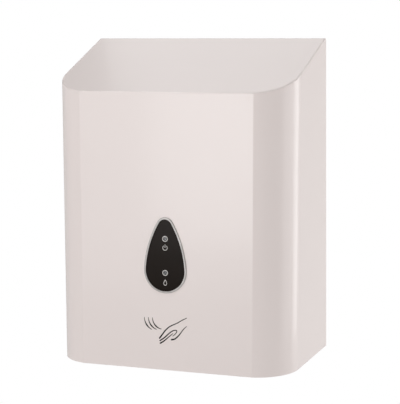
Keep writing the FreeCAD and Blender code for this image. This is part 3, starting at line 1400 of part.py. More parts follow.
def make_wiring():
    """Leads from the control board to the display, batteries, motor and sensor."""
    plug = -17
    display = [(12, -107, 60), (12, -96, 60), (12, -80, 66), (19, -60, 66), (19, plug, 66)]
    power = [(BOX_X[0] + 2.5, -40, 64), (24, -40, 64), (24, -26, 56), (27, plug, 56)]
    sensor = [(12, -64, 25.4), (12, -64, 44), (12, -40, 46), (12, plug, 46)]
    routes = [display, power, sensor]
    for side, y, height, plug_x in ((1, -79, 68, 6.5), (-1, -82, 70, 9.5)):
        tab_x = MOTOR_X + 5 * side
        tab_z = DRIVE_Z + 6.3
        route = [(tab_x, MOTOR_FRONT - 7.9, tab_z), (tab_x, y, tab_z), (tab_x, y, height)]
        routes.append(route + [(plug_x, y, height), (plug_x, plug, 66)])
    wires = []
    for route in routes:
        wires.append(bent_rod([Vector(*point) for point in route], WIRE_BEND, WIRE_RADIUS))
    return group(wires)


# ---------------------------------------------------------------- the object

def make_parts():
    """Every sub-part by name."""
    clip = tank_clip()
    return {
        "cover": make_cover(),
        "window_bezel": make_window_bezel(),
        "window_lens": make_window_lens(),
        "indicator_lenses": make_indicator_lenses(),
        "lock_body": make_lock_body(),
        "lock_nut": make_lock_nut(),
        "lock_core": make_lock_core(),
        "lock_cam": make_lock_cam(),
        "cam_screw": make_cam_screw(),
        "lock_strike": make_lock_strike(),
        "wall_plate": make_wall_plate(),
        "hinge_pins": make_hinge_pins(),
        "bottom_tray": make_bottom_tray(),
        "module_frame": make_module_frame(),
        "tank": make_tank(),
        "filler_cap": make_filler_cap(),
        "cap_seal": make_cap_seal(),
        "tank_clip_right": clip,
        "tank_clip_left": clip.mirror(ORIGIN, X_AXIS),
        "clip_screws": make_clip_screws(),
        "pump_housing": make_pump_housing(),
        "pump_cover": make_pump_cover(),
        "pump_screws": make_pump_screws(),
        "pump_drive_gear": make_pump_drive_gear(),
        "pump_idler_gear": make_pump_idler_gear(),
        "drive_wheel": make_drive_wheel(),
        "motor_pinion": make_motor_pinion(),
        "motor_shaft": make_motor_shaft(),
        "motor_can": make_motor_can(),
        "motor_end_cap": make_motor_end_cap(),
        "motor_screws": make_motor_screws(),
        "gear_plate": make_gear_plate(),
        "gear_cover": make_gear_cover(),
        "feed_tube": make_feed_tube(),
        "delivery_tube": make_delivery_tube(),
        "hose_clips": make_hose_clips(),
        "nozzle_body": make_nozzle_body(),
        "nozzle_nut": make_nozzle_nut(),
        "nozzle_tip": make_nozzle_tip(),
        "sensor_window": make_sensor_window(),
        "sensor_holder": make_sensor_holder(),
        "sensor_diodes": make_sensor_diodes(),
        "sensor_board": make_sensor_board(),
        "control_board": make_control_board(),
        "board_components": make_board_components(),
        "board_connectors": make_board_connectors(),
        "battery_box": make_battery_box(),
        "battery_door": make_battery_door(),
        "battery_cells": make_battery_cells(),
        "battery_contacts": make_battery_contacts(),
        "battery_springs": make_battery_springs(),
        "display_housing": make_display_housing(),
        "display_board": make_display_board(),
        "status_leds": make_status_leds(),
        "light_pipes": make_light_pipes(),
        "control_bases": make_control_bases(),
        "switch_slider": make_switch_slider(),
        "dose_dial": make_dose_dial(),
        "case_screws": make_case_screws(),
        "wiring": make_wiring(),
    }


os.makedirs("parts", exist_ok=True)
for part_name, part_shape in make_parts().items():
    save(part_shape, part_name)
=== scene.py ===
import bmesh
import bpy
import json
import math
from mathutils import Matrix, Vector


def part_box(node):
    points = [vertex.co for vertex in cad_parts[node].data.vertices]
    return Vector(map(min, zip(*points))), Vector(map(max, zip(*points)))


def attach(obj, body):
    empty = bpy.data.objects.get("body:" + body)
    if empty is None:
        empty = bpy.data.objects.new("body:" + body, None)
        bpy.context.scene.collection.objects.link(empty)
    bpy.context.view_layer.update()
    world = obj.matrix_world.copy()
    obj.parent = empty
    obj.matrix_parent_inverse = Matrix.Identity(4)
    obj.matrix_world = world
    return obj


# Touch-free soap dispenser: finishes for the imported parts, printed marks, and the small details on them.
# The frame's origin is on the wall, at the centre of the four screw holes. The room is at -Y.

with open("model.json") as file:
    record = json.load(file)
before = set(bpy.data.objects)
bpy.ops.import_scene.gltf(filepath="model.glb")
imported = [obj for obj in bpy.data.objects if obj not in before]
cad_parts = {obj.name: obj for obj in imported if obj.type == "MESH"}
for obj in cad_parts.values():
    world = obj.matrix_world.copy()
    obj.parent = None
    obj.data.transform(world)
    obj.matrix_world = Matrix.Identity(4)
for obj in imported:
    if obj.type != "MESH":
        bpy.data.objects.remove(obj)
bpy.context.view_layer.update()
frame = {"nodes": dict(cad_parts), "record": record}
nodes = frame["nodes"]

MM = 0.001
COVER_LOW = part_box("cover")[0]
BOTTOM = COVER_LOW.z
FRONT_LEAN = 12.6 / 300  # how far the cover's front leans back for each unit of height


# ---------------------------------------------------------------- camera, floor and light

FLOOR_DEPTH = 1.1
FLOOR_RADIUS = 3.0
FLOOR_FADE_START = 0.35 * FLOOR_RADIUS
FLOOR_GLOW = 0.58

STUDIO_TINT = (1.0, 0.985, 0.975, 1)
STUDIO_STRENGTH = 0.532
STUDIO_RISE = (0.07, 0.03, -0.39)

CAMERA_YAW = math.radians(21.382)
CAMERA_PITCH = math.radians(9.037)
CAMERA_ROLL = math.radians(-1.07)
CAMERA_LENS = 129.95
CAMERA_DISTANCE = 1.502
AIM_X = -0.01424
AIM_Y = -0.0035
AIM_HEIGHT = 0.14158


def make_camera():
    """Camera to the right of the object and a little above it."""
    forward = Vector((
        -math.sin(CAMERA_YAW) * math.cos(CAMERA_PITCH),
        math.cos(CAMERA_YAW) * math.cos(CAMERA_PITCH),
        -math.sin(CAMERA_PITCH),
    ))
    level = Vector((math.cos(CAMERA_YAW), math.sin(CAMERA_YAW), 0))
    upright = level.cross(forward)
    right = level * math.cos(CAMERA_ROLL) + upright * math.sin(CAMERA_ROLL)
    up = right.cross(forward)
    camera = bpy.data.objects.new("camera", bpy.data.cameras.new("camera"))
    camera.data.lens = CAMERA_LENS
    camera.data.clip_start = 0.05
    camera.data.clip_end = 50
    turn = Matrix((right, up, -forward)).transposed().to_4x4()
    aim = Vector((AIM_X, AIM_Y, BOTTOM + AIM_HEIGHT))
    camera.matrix_world = Matrix.Translation(aim - forward * CAMERA_DISTANCE) @ turn
    bpy.context.scene.collection.objects.link(camera)
    bpy.context.scene.camera = camera


def soft_box(name, azimuth, elevation, distance, size, power):
    """Soft rectangular light that points at the object.

    Azimuth 0 is straight in front of it, and 90 to its right.
    """
    centre = Vector((0, -0.06, 0))
    turn = math.radians(azimuth)
    rise = math.radians(elevation)
    way = Vector((math.sin(turn) * math.cos(rise), -math.cos(turn) * math.cos(rise), math.sin(rise)))
    data = bpy.data.lights.new(name, "AREA")
    data.shape = "RECTANGLE"
    data.size, data.size_y = size
    data.energy = power
    light = bpy.data.objects.new(name, data)
    light.location = centre + way * distance
    light.rotation_euler = (-way).to_track_quat("-Z", "Y").to_euler()
    bpy.context.scene.collection.objects.link(light)


def make_lights():
    """Upright boxes near the front, a strong one high on the left, and others behind and to the right."""
    soft_box("front_wide", -20, 4, 1.8, (0.7, 0.9), 2.1)
    soft_box("front_narrow", -15, 7, 1.8, (0.5, 0.9), 3.85)
    soft_box("front_high", -5, 42, 1.6, (1.2, 1.0), 1.35)
    soft_box("left_high", -49, 61, 1.6, (0.6, 0.6), 8.7)
    soft_box("rear_high", -165, 46, 1.6, (0.9, 0.9), 2.5)
    soft_box("rear_right", 132, 12, 1.6, (0.7, 1.8), 7.7)
    soft_box("right", 100, 10, 1.6, (1.0, 1.6), 4.0)


def make_world():
    """Grey studio that is brighter towards the ground, with plain white behind the object."""
    world = bpy.data.worlds.new("studio")
    bpy.context.scene.world = world
    world.use_nodes = True
    tree = world.node_tree
    tree.nodes.clear()
    way = tree.nodes.new("ShaderNodeTexCoord")
    along = tree.nodes.new("ShaderNodeVectorMath")
    along.operation = "DOT_PRODUCT"
    along.inputs[1].default_value = STUDIO_RISE
    tree.links.new(way.outputs["Generated"], along.inputs[0])
    strength = tree.nodes.new("ShaderNodeMath")
    strength.operation = "ADD"
    tree.links.new(along.outputs["Value"], strength.inputs[0])
    strength.inputs[1].default_value = STUDIO_STRENGTH
    room = tree.nodes.new("ShaderNodeBackground")
    room.inputs["Color"].default_value = STUDIO_TINT
    tree.links.new(strength.outputs["Value"], room.inputs["Strength"])
    backdrop = tree.nodes.new("ShaderNodeBackground")
    backdrop.inputs["Color"].default_value = (1, 1, 1, 1)
    backdrop.inputs["Strength"].default_value = 1.0
    path = tree.nodes.new("ShaderNodeLightPath")
    mix = tree.nodes.new("ShaderNodeMixShader")
    output = tree.nodes.new("ShaderNodeOutputWorld")
    tree.links.new(path.outputs["Is Camera Ray"], mix.inputs["Fac"])
    tree.links.new(room.outputs["Background"], mix.inputs[1])
    tree.links.new(backdrop.outputs["Background"], mix.inputs[2])
    tree.links.new(mix.outputs["Shader"], output.inputs["Surface"])


def make_floor():
    """Round pale floor under the object that fades out into the white."""
    mesh = bpy.data.meshes.new("floor")
    form = bmesh.new()
    bmesh.ops.create_circle(form, cap_ends=True, radius=FLOOR_RADIUS, segments=96)
    form.to_mesh(mesh)
    form.free()
    floor = bpy.data.objects.new("floor", mesh)
    floor.location = (0, 0, BOTTOM - FLOOR_DEPTH)
    bpy.context.scene.collection.objects.link(floor)
    surface = Surface("pale_floor", Emission_Color=(1, 1, 1, 1), Emission_Strength=FLOOR_GLOW)
    surface.vary_colour((0.95, 0.95, 0.95), 0.01, 4)
    surface.vary_roughness(0.6, 0.05, 20)
    away = surface.node("ShaderNodeVectorMath", operation="LENGTH")
    surface.link(surface.place, away.inputs[0])
    fade = surface.node("ShaderNodeMapRange", interpolation_type="SMOOTHSTEP")
    surface.link(away.outputs["Value"], fade.inputs["Value"])
    fade.inputs["From Min"].default_value = FLOOR_FADE_START
    fade.inputs["From Max"].default_value = FLOOR_RADIUS
    nothing = surface.node("ShaderNodeBsdfTransparent")
    mix = surface.node("ShaderNodeMixShader")
    surface.link(fade.outputs["Result"], mix.inputs["Fac"])
    surface.link(surface.shader.outputs["BSDF"], mix.inputs[1])
    surface.link(nothing.outputs["BSDF"], mix.inputs[2])
    surface.link(mix.outputs["Shader"], surface.output.inputs["Surface"])
    mesh.materials.append(surface.material)


# ---------------------------------------------------------------- materials

class Surface:
    """Node material in object coordinates, in metres."""

    def __init__(self, name, **sockets):
        self.material = bpy.data.materials.new(name)
        self.material.use_nodes = True
        self.tree = self.material.node_tree
        self.tree.nodes.clear()
        self.shader = self.node("ShaderNodeBsdfPrincipled")
        self.output = self.node("ShaderNodeOutputMaterial")
        self.link(self.shader.outputs["BSDF"], self.output.inputs["Surface"])
        self.place = self.node("ShaderNodeTexCoord").outputs["Object"]
        self.bumps = None
        for socket, value in sockets.items():
            self.shader.inputs[socket.replace("_", " ")].default_value = value

    def node(self, kind, **settings):
        made = self.tree.nodes.new(kind)
        for name, value in settings.items():
            setattr(made, name, value)
        return made

    def link(self, source, target):
        self.tree.links.new(source, target)

    def noise(self, scale, detail=3.0, stretch=(1, 1, 1)):
        """Grey noise from 0 to 1, stretched along an axis where its factor is small."""
        mapping = self.node("ShaderNodeMapping")
        mapping.inputs["Scale"].default_value = stretch
        self.link(self.place, mapping.inputs["Vector"])
        noise = self.node("ShaderNodeTexNoise")
        noise.inputs["Scale"].default_value = scale
        noise.inputs["Detail"].default_value = detail
        self.link(mapping.outputs["Vector"], noise.inputs["Vector"])
        return noise.outputs["Fac"]

    def cells(self, scale):
        """Cells of random plain colours."""
        voronoi = self.node("ShaderNodeTexVoronoi")
        voronoi.inputs["Scale"].default_value = scale
        self.link(self.place, voronoi.inputs["Vector"])
        return voronoi.outputs["Color"]

    def bands(self, axis, scale):
        """Soft straight bands across one axis."""
        wave = self.node("ShaderNodeTexWave", bands_direction=axis)
        wave.inputs["Scale"].default_value = scale
        wave.inputs["Distortion"].default_value = 0
        self.link(self.place, wave.inputs["Vector"])
        return wave.outputs["Fac"]

    def ranged(self, value, low, high, start=0.0, end=1.0):
        """The value's range from start to end, mapped onto low to high."""
        span = self.node("ShaderNodeMapRange")
        for socket, number in (("From Min", start), ("From Max", end), ("To Min", low), ("To Max", high)):
            span.inputs[socket].default_value = number
        self.link(value, span.inputs["Value"])
        return span.outputs["Result"]

    def blend(self, factor, first, second):
        """Mix of two colours, each one a tuple or a node's output."""
        mix = self.node("ShaderNodeMix", data_type="RGBA")
        self.link(factor, mix.inputs[0])
        for socket, colour in ((mix.inputs[6], first), (mix.inputs[7], second)):
            if isinstance(colour, tuple):
                socket.default_value = (*colour, 1)
            else:
                self.link(colour, socket)
        return mix.outputs[2]

    def vary_colour(self, colour, share, scale):
        """Colour that drifts a little lighter and darker over the surface."""
        dark = tuple(c * (1 - share) for c in colour)
        light = tuple(min(c * (1 + share), 1.0) for c in colour)
        mixed = self.blend(self.ranged(self.noise(scale, 5), 0, 1, 0.3, 0.7), dark, light)
        self.link(mixed, self.shader.inputs["Base Color"])
        return mixed

    def vary_roughness(self, roughness, share, scale, stretch=(1, 1, 1)):
        """Roughness that varies with fine marks."""
        fine = self.noise(scale, 6, stretch)
        spread = self.ranged(fine, roughness * (1 - share), roughness * (1 + share), 0.25, 0.75)
        self.link(spread, self.shader.inputs["Roughness"])

    def bump(self, height, distance):
        """Relief of the given depth in metres, on top of any that is there already."""
        relief = self.node("ShaderNodeBump")
        relief.inputs["Distance"].default_value = distance
        relief.inputs["Strength"].default_value = 1.0
        self.link(height, relief.inputs["Height"])
        if self.bumps:
            self.link(self.bumps, relief.inputs["Normal"])
        self.bumps = relief.outputs["Normal"]
        self.link(self.bumps, self.shader.inputs["Normal"])


def moulded(name, colour, roughness, grain, **sockets):
    """Moulded plastic: soft flow marks, an uneven gloss and a grained or peel-like surface."""
    surface = Surface(name, **sockets)
    surface.vary_colour(colour, 0.03, 22)
    surface.vary_roughness(roughness, 0.18, 160)
    surface.bump(surface.noise(45, 2), 0.00004)
    surface.bump(surface.noise(1600, 3), grain)
    return surface.material


def glossy_shell():
    """White gloss moulding of the cover."""
    surface = Surface("white_gloss", Specular_IOR_Level=0.5, Coat_Weight=0.25, Coat_Roughness=0.08)
    surface.vary_colour((0.815, 0.737, 0.716), 0.008, 9)
    surface.vary_roughness(0.26, 0.04, 600)
    surface.bump(surface.noise(14, 1), 0.00006)
    surface.bump(surface.noise(900, 2), 0.0000008)
    return surface.material


def plated(name, colour, roughness, stretch=(1, 1, 1), scale=900, depth=0.000002):
    """Plated or rolled metal with fine marks along one axis and faint stains."""
    surface = Surface(name, Metallic=1.0)
    surface.vary_colour(colour, 0.07, 60)
    surface.vary_roughness(roughness, 0.35, scale, stretch)
    surface.bump(surface.noise(scale, 4, stretch), depth)
    return surface.material


def zinc_plating():
    """Zinc plated steel with a faint spangle."""
    surface = Surface("zinc_steel", Metallic=1.0)
    spangle = surface.cells(900)
    grey = surface.node("ShaderNodeRGBToBW")
    surface.link(spangle, grey.inputs["Color"])
    colour = surface.blend(grey.outputs["Val"], (0.56, 0.58, 0.62), (0.74, 0.75, 0.77))
    surface.link(colour, surface.shader.inputs["Base Color"])
    surface.vary_roughness(0.3, 0.3, 700)
    surface.bump(surface.noise(1400, 3), 0.000003)
    return surface.material


def milky(name, colour, roughness, clearness, scatter):
    """Natural plastic or silicone that lets some light through."""
    surface = Surface(name, Transmission_Weight=clearness, Subsurface_Weight=scatter, IOR=1.45)
    surface.shader.inputs["Subsurface Radius"].default_value = (0.004, 0.004, 0.0035)
    surface.vary_colour(colour, 0.03, 16)
    surface.vary_roughness(roughness, 0.2, 140)
    surface.bump(surface.noise(60, 3), 0.00008)
    surface.bump(surface.noise(1300, 2), 0.000004)
    return surface.material


def clear(name, colour, roughness):
    """Clear moulding with faint flow marks."""
    surface = Surface(name, Transmission_Weight=0.92, IOR=1.49)
    surface.vary_colour(colour, 0.02, 120)
    surface.vary_roughness(roughness, 0.3, 500)
    surface.bump(surface.noise(500, 2), 0.000004)
    return surface.material


def circuit_board():
    """Green solder mask over copper tracks that run along both axes."""
    surface = Surface("circuit_green", Coat_Weight=0.3, Coat_Roughness=0.1)
    track_spacing = 1.25 * MM
    frequency = math.pi / 10 / track_spacing
    across = surface.ranged(surface.bands("X", frequency), 0, 1, 0.78, 0.86)
    along = surface.ranged(surface.bands("Z", frequency), 0, 1, 0.78, 0.86)
    regions = surface.node("ShaderNodeSeparateColor")
    surface.link(surface.cells(120), regions.inputs["Color"])
    chosen = surface.ranged(regions.outputs["Red"], 0, 1, 0.49, 0.51)
    filled = surface.ranged(regions.outputs["Green"], 0, 1, 0.34, 0.36)
    tracks = surface.node("ShaderNodeMix", data_type="FLOAT")
    surface.link(chosen, tracks.inputs[0])
    surface.link(across, tracks.inputs[2])
    surface.link(along, tracks.inputs[3])
    kept = surface.node("ShaderNodeMath", operation="MULTIPLY")
    surface.link(tracks.outputs[0], kept.inputs[0])
    surface.link(filled, kept.inputs[1])
    mask = surface.blend(surface.noise(40, 4), (0.012, 0.12, 0.045), (0.018, 0.16, 0.06))
    colour = surface.blend(kept.outputs["Value"], mask, (0.05, 0.27, 0.10))
    surface.link(colour, surface.shader.inputs["Base Color"])
    surface.vary_roughness(0.3, 0.2, 300)
    surface.bump(kept.outputs["Value"], 0.00003)
    return surface.material


def cell_jacket():
    """Printed cell jacket: dark, with a copper-coloured band at the end of the raised contact."""
    surface = Surface("cell_jacket", Metallic=0.6)
    low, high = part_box("battery_cells")
    place = surface.node("ShaderNodeSeparateXYZ")
    surface.link(surface.place, place.inputs["Vector"])
    band = 14 * MM
    soft = 0.1 * MM
    left_band = surface.ranged(place.outputs["X"], 1, 0, low.x + band, low.x + band + soft)
    right_band = surface.ranged(place.outputs["X"], 0, 1, high.x - band, high.x - band + soft)
    middle = (low.z + high.z) / 2
    upper_row = surface.ranged(place.outputs["Z"], 0, 1, middle, middle + soft)
    banded = surface.node("ShaderNodeMix", data_type="FLOAT")
    surface.link(upper_row, banded.inputs[0])
    surface.link(left_band, banded.inputs[2])
    surface.link(right_band, banded.inputs[3])
    dark = surface.blend(surface.noise(30, 3), (0.025, 0.027, 0.03), (0.035, 0.037, 0.04))
    copper = (0.55, 0.27, 0.12)
    surface.link(surface.blend(banded.outputs[0], dark, copper), surface.shader.inputs["Base Color"])
    surface.vary_roughness(0.32, 0.2, 240)
    surface.bump(surface.noise(500, 2), 0.000003)
    return surface.material


def dark_window():
    """Black gloss window."""
    surface = Surface("window_black", Specular_IOR_Level=0.07)
    surface.vary_colour((0.012, 0.008, 0.006), 0.08, 60)
    surface.vary_roughness(0.12, 0.3, 400)
    surface.bump(surface.noise(120, 2), 0.00001)
    return surface.material


def printed(name, colour):
    """Pad-printed ink with slightly uneven cover."""
    surface = Surface(name, Specular_IOR_Level=0.2)
    surface.vary_colour(colour, 0.12, 1500)
    surface.vary_roughness(0.5, 0.2, 2500)
    surface.bump(surface.noise(4000, 2), 0.000002)
    return surface.material


def make_materials():
    """Every finish by its slot's name, and the extra ones for details."""
    grain = 0.000012
    return {
        "white_gloss": glossy_shell(),
        "bright_rim": plated("bright_rim", (0.40, 0.382, 0.372), 0.38, scale=500, depth=0.000001),
        "window_black": dark_window(),
        "clear_plastic": clear("clear_plastic", (0.72, 0.74, 0.76), 0.12),
        "nickel": plated("nickel", (0.70, 0.67, 0.61), 0.26),
        "zinc_steel": zinc_plating(),
        "steel": plated("steel", (0.56, 0.57, 0.58), 0.3, (1, 0.05, 1), 1500, 0.000004),
        "grey_plastic": moulded("grey_plastic", (0.60, 0.60, 0.59), 0.5, grain),
        "natural_plastic": milky("natural_plastic", (0.84, 0.86, 0.84), 0.38, 0.25, 0.4),
        "blue_plastic": moulded("blue_plastic", (0.03, 0.10, 0.30), 0.38, grain),
        "black_rubber": moulded("black_rubber", (0.02, 0.02, 0.02), 0.75, grain * 2),
        "dark_plastic": moulded("dark_plastic", (0.030, 0.030, 0.033), 0.46, grain * 1.5),
        "ivory_plastic": moulded("ivory_plastic", (0.72, 0.69, 0.60), 0.42, grain / 2),
        "gear_plastic": moulded("gear_plastic", (0.82, 0.81, 0.76), 0.32, grain / 3, Subsurface_Weight=0.1),
        "brass": plated("brass", (0.76, 0.56, 0.25), 0.25, (1, 0.1, 1), 1500, 0.000004),
        "aluminium_sheet": plated("aluminium_sheet", (0.72, 0.73, 0.74), 0.34, (0.04, 1, 1), 1400, 0.000005),
        "silicone": milky("silicone", (0.80, 0.82, 0.81), 0.45, 0.35, 0.3),
        "circuit_green": circuit_board(),
        "chip_black": moulded("chip_black", (0.018, 0.018, 0.019), 0.55, grain),
        "cell_jacket": cell_jacket(),
        "wire_jacket": moulded("wire_jacket", (0.42, 0.02, 0.02), 0.4, grain / 4),
        "wire_black": moulded("wire_black", (0.02, 0.02, 0.02), 0.4, grain / 4),
        "wire_yellow": moulded("wire_yellow", (0.60, 0.42, 0.04), 0.4, grain / 4),
        "wire_grey": moulded("wire_grey", (0.35, 0.35, 0.36), 0.4, grain / 4),
        "green_light": clear("green_light", (0.25, 0.75, 0.35), 0.3),
        "red_light": clear("red_light", (0.80, 0.18, 0.14), 0.3),
        "capacitor_sleeve": moulded("capacitor_sleeve", (0.02, 0.03, 0.07), 0.3, grain / 4),
        "tinned": plated("tinned", (0.66, 0.66, 0.67), 0.35),
        "resistor_body": moulded("resistor_body", (0.025, 0.024, 0.024), 0.4, grain / 4),
        "dark_ink": printed("dark_ink", (0.012, 0.008, 0.007)),
        "light_ink": printed("light_ink", (0.60, 0.58, 0.56)),
    }


materials = make_materials()


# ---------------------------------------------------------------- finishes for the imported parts

def solids_of(mesh):
    """For each face, the number of the separate solid that it belongs to, counted from left to right."""
    keys = {}
    corner = [keys.setdefault(tuple(round(c, 6) for c in v.co), len(keys)) for v in mesh.vertices]
    parent = list(range(len(keys)))

    def root(i):
        while parent[i] != i:
            parent[i] = parent[parent[i]]
            i = parent[i]
        return i

    for face in mesh.polygons:
        first = root(corner[face.vertices[0]])
        for vertex in face.vertices[1:]:
            parent[root(corner[vertex])] = first
    places = {}
    for vertex, key in zip(mesh.vertices, corner):
        places.setdefault(root(key), []).append(vertex.co)
    middles = {}
    for group, points in places.items():
        middles[group] = sum(points, Vector()) / len(points)
    order = sorted(middles, key=lambda group: tuple(round(c, 5) for c in middles[group]))
    rank = {group: i for i, group in enumerate(order)}
    return [rank[root(corner[face.vertices[0]])] for face in mesh.polygons], [middles[g] for g in order]


def paint_solids(node, choose):
    """Give each separate solid of a node its own finish, chosen by its middle point."""
    mesh = nodes[node].data
    face_solid, middles = solids_of(mesh)
    names = [choose(middle) for middle in middles]
    palette = sorted(set(names))
    mesh.materials.clear()
    for name in palette:
        mesh.materials.append(materials[name])
    for face, solid in zip(mesh.polygons, face_solid):
        face.material_index = palette.index(names[solid])


def finish_nodes():
    """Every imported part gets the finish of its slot."""
    for part in frame["record"]["subparts"]:
        mesh = nodes[part["node"]].data
        mesh.materials.clear()
        mesh.materials.append(materials[part["material_slot"]])
    board_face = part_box("control_board")[0].y
    highest_chip_middle = 2 * MM
    led_low, led_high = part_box("status_leds")
    wires = ["wire_black", "wire_yellow", "wire_jacket", "wire_grey"]

    def component(middle):
        return "capacitor_sleeve" if board_face - middle.y > highest_chip_middle else "chip_black"

    def wire(middle):
        whole_millimetres = int(abs(middle.x * 1000))
        return wires[whole_millimetres % len(wires)]

    def light(middle):
        return "red_light" if middle.z > (led_low.z + led_high.z) / 2 else "green_light"

    paint_solids("board_components", component)
    paint_solids("wiring", wire)
    paint_solids("status_leds", light)


# ---------------------------------------------------------------- shapes for marks, in millimetres

def new_piece(form, name, body, finish, place):
    """Object from a form drawn in millimetres, put in place and given its body and finish."""
    mesh = bpy.data.meshes.new(name)
    bmesh.ops.recalc_face_normals(form, faces=form.faces)
    form.to_mesh(mesh)
    form.free()
    mesh.transform(place @ Matrix.Scale(MM, 4))
    mesh.materials.append(materials[finish])
    piece = bpy.data.objects.new(name, mesh)
    bpy.context.scene.collection.objects.link(piece)
    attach(piece, body)


def on_front(height, proud=0.0):
    """Place on the middle of the cover's leaning front, at a height from its bottom, with +Z outwards."""
    foot = Matrix.Translation((0, COVER_LOW.y + FRONT_LEAN * height * MM, BOTTOM + height * MM))
    turn = Matrix.Rotation(math.pi / 2 - math.atan(FRONT_LEAN), 4, "X")
    return foot @ turn @ Matrix.Translation((0, 0, proud * MM))


def facing_front(x, y, z):
    """Place on an upright face that looks into the room, in millimetres of the frame."""
    return Matrix.Translation((x * MM, y * MM, z * MM)) @ Matrix.Rotation(math.pi / 2, 4, "X")


def around(centre, radius, degrees):
    """Point on a circle, at an angle counted from +X."""
    turn = math.radians(degrees)
    return centre + radius * Vector((math.cos(turn), math.sin(turn)))


def curve_through(points):
    """Smooth line through the points."""
    steps = 8
    ends = [points[0] * 2 - points[1]] + points + [points[-1] * 2 - points[-2]]
    line = []
    for a, b, c, d in zip(ends, ends[1:], ends[2:], ends[3:]):
        for i in range(steps):
            t = i / steps
            line.append(0.5 * (2 * b + (c - a) * t + (2 * a - 5 * b + 4 * c - d) * t ** 2
                               + (3 * b - a - 3 * c + d) * t ** 3))
    return line + [points[-1]]


def add_stroke(form, line, start_width, end_width, height, base=0.0):
    """Raised flat stroke along a line, as wide as given at its two ends, which are rounded."""
    count = len(line)
    left = []
    right = []
    for i, point in enumerate(line):
        along = (line[min(i + 1, count - 1)] - line[max(i - 1, 0)]).normalized()
        width = start_width + (end_width - start_width) * i / (count - 1)
        side = Vector((-along.y, along.x)) * width / 2
        left.append(point + side)
        right.append(point - side)
    start_cap = round_end(line[0], left[0], start_width / 2)
    end_cap = round_end(line[-1], right[-1], end_width / 2)
    add_plate(form, right + end_cap + left[::-1] + start_cap, height, base)


def round_end(centre, start, radius):
    """Points of the half circle that turns left from start around a centre, without its two ends."""
    first = math.degrees(math.atan2(start.y - centre.y, start.x - centre.x))
    steps = 5
    return [around(centre, radius, first + 180 * i / steps) for i in range(1, steps)]


def add_plate(form, outline, height, base=0.0):
    """Flat plate with the given outline."""
    low = [form.verts.new((p.x, p.y, base)) for p in outline]
    high = [form.verts.new((p.x, p.y, base + height)) for p in outline]
    form.faces.new(high)
    form.faces.new(low[::-1])
    for i in range(len(outline)):
        j = (i + 1) % len(outline)
        form.faces.new((low[i], low[j], high[j], high[i]))


def add_ring(form, centre, outer, inner, height, start=0.0, end=360.0):
    """Flat ring, or a part of one between two angles in degrees."""
    whole = end - start >= 360
    steps = round((end - start) / 7.5)
    columns = []
    for i in range(steps + (0 if whole else 1)):
        column = []
        for radius, z in ((inner, 0), (outer, 0), (outer, height), (inner, height)):
            point = around(centre, radius, start + (end - start) * i / steps)
            column.append(form.verts.new((point.x, point.y, z)))
        columns.append(column)
    pairs = list(zip(columns, columns[1:]))
    if whole:
        pairs.append((columns[-1], columns[0]))
    for now, after in pairs:
        for i in range(4):
            j = (i + 1) % 4
            form.faces.new((now[i], now[j], after[j], after[i]))
    if not whole:
        form.faces.new(columns[0])
        form.faces.new(columns[-1][::-1])


def add_block(form, x, y, z, round_off):
    """Small block between two limits along each axis, with its edges rounded off."""
    made = bmesh.ops.create_cube(form, size=1)["verts"]
    for vertex in made:
        vertex.co.x = x[0] + (x[1] - x[0]) * (vertex.co.x + 0.5)
        vertex.co.y = y[0] + (y[1] - y[0]) * (vertex.co.y + 0.5)
        vertex.co.z = z[0] + (z[1] - z[0]) * (vertex.co.z + 0.5)
    edges = {edge for vertex in made for edge in vertex.link_edges}
    bmesh.ops.bevel(form, geom=list(edges), offset=round_off, segments=2, affect="EDGES")


def numeral(number, size, thickness):
    """Form of one numeral, centred on the origin."""
    data = bpy.data.curves.new("numeral", "FONT")
    data.body = str(number)
    data.size = size
    data.extrude = thickness / 2
    data.resolution_u = 3
    data.align_x = "CENTER"
    data.align_y = "CENTER"
    text = bpy.data.objects.new("numeral", data)
    bpy.context.scene.collection.objects.link(text)
    bpy.context.view_layer.update()
    mesh = bpy.data.meshes.new_from_object(text.evaluated_get(bpy.context.evaluated_depsgraph_get()))
    form = bmesh.new()
    form.from_mesh(mesh)
    bpy.data.objects.remove(text)
    bpy.data.meshes.remove(mesh)
    return form


def add_form(form, other, shift):
    """Copy another form into this one, moved by shift."""
    mesh = bpy.data.meshes.new("copy")
    other.to_mesh(mesh)
    mesh.transform(Matrix.Translation(shift))
    form.from_mesh(mesh)
    bpy.data.meshes.remove(mesh)
    other.free()


# ---------------------------------------------------------------- printed marks

INK = 0.04  # thickness of the ink, in millimetres


def make_hand_mark():
    """Printed hand under three arcs, low on the cover's front."""
    height = 40
    form = bmesh.new()
    add_arcs(form, Vector((-22, 10)))
    back = [(21.5, 12), (17, 9.6), (11.5, 6.3), (4.5, 2.8), (0, -1), (-3.2, -5.2), (-6.4, -9.4)]
    finger = [(-6, -11.8), (-1, -8.2), (3.6, -4), (7.6, -1.2)]
    finger += [(10.8, -0.6), (11.4, -2), (9.6, -4.4), (7.2, -6.4)]
    lower = [(-5.6, -14.2), (-1.6, -11.6), (2.8, -7.8), (7.4, -4)]
    palm = [(6, -10), (9.4, -9), (13.8, -5), (18, 0.6), (21.5, 4)]
    for points, start, end in ((back, 0.7, 1.45), (finger, 1.3, 0.6), (lower, 1.5, 0.65), (palm, 1.6, 0.55)):
        add_stroke(form, curve_through([Vector(point) for point in points]), start, end, INK)
    new_piece(form, "hand_mark", "cover", "dark_ink", on_front(height))


def add_arcs(form, start):
    """Three arcs side by side that swell towards their middle. The first one begins at start."""
    steps = 12
    thickest = 7
    for i in range(3):
        radius = 12.5 - i
        centre = start + Vector((4.2 * i + radius, 0))
        sweep = 66 + 8 * i
        line = [around(centre, radius, 180 + sweep * step / steps) for step in range(steps + 1)]
        add_stroke(form, line[:thickest + 1], 0.5, 1.4, INK)
        add_stroke(form, line[thickest:], 1.4, 0.6, INK)


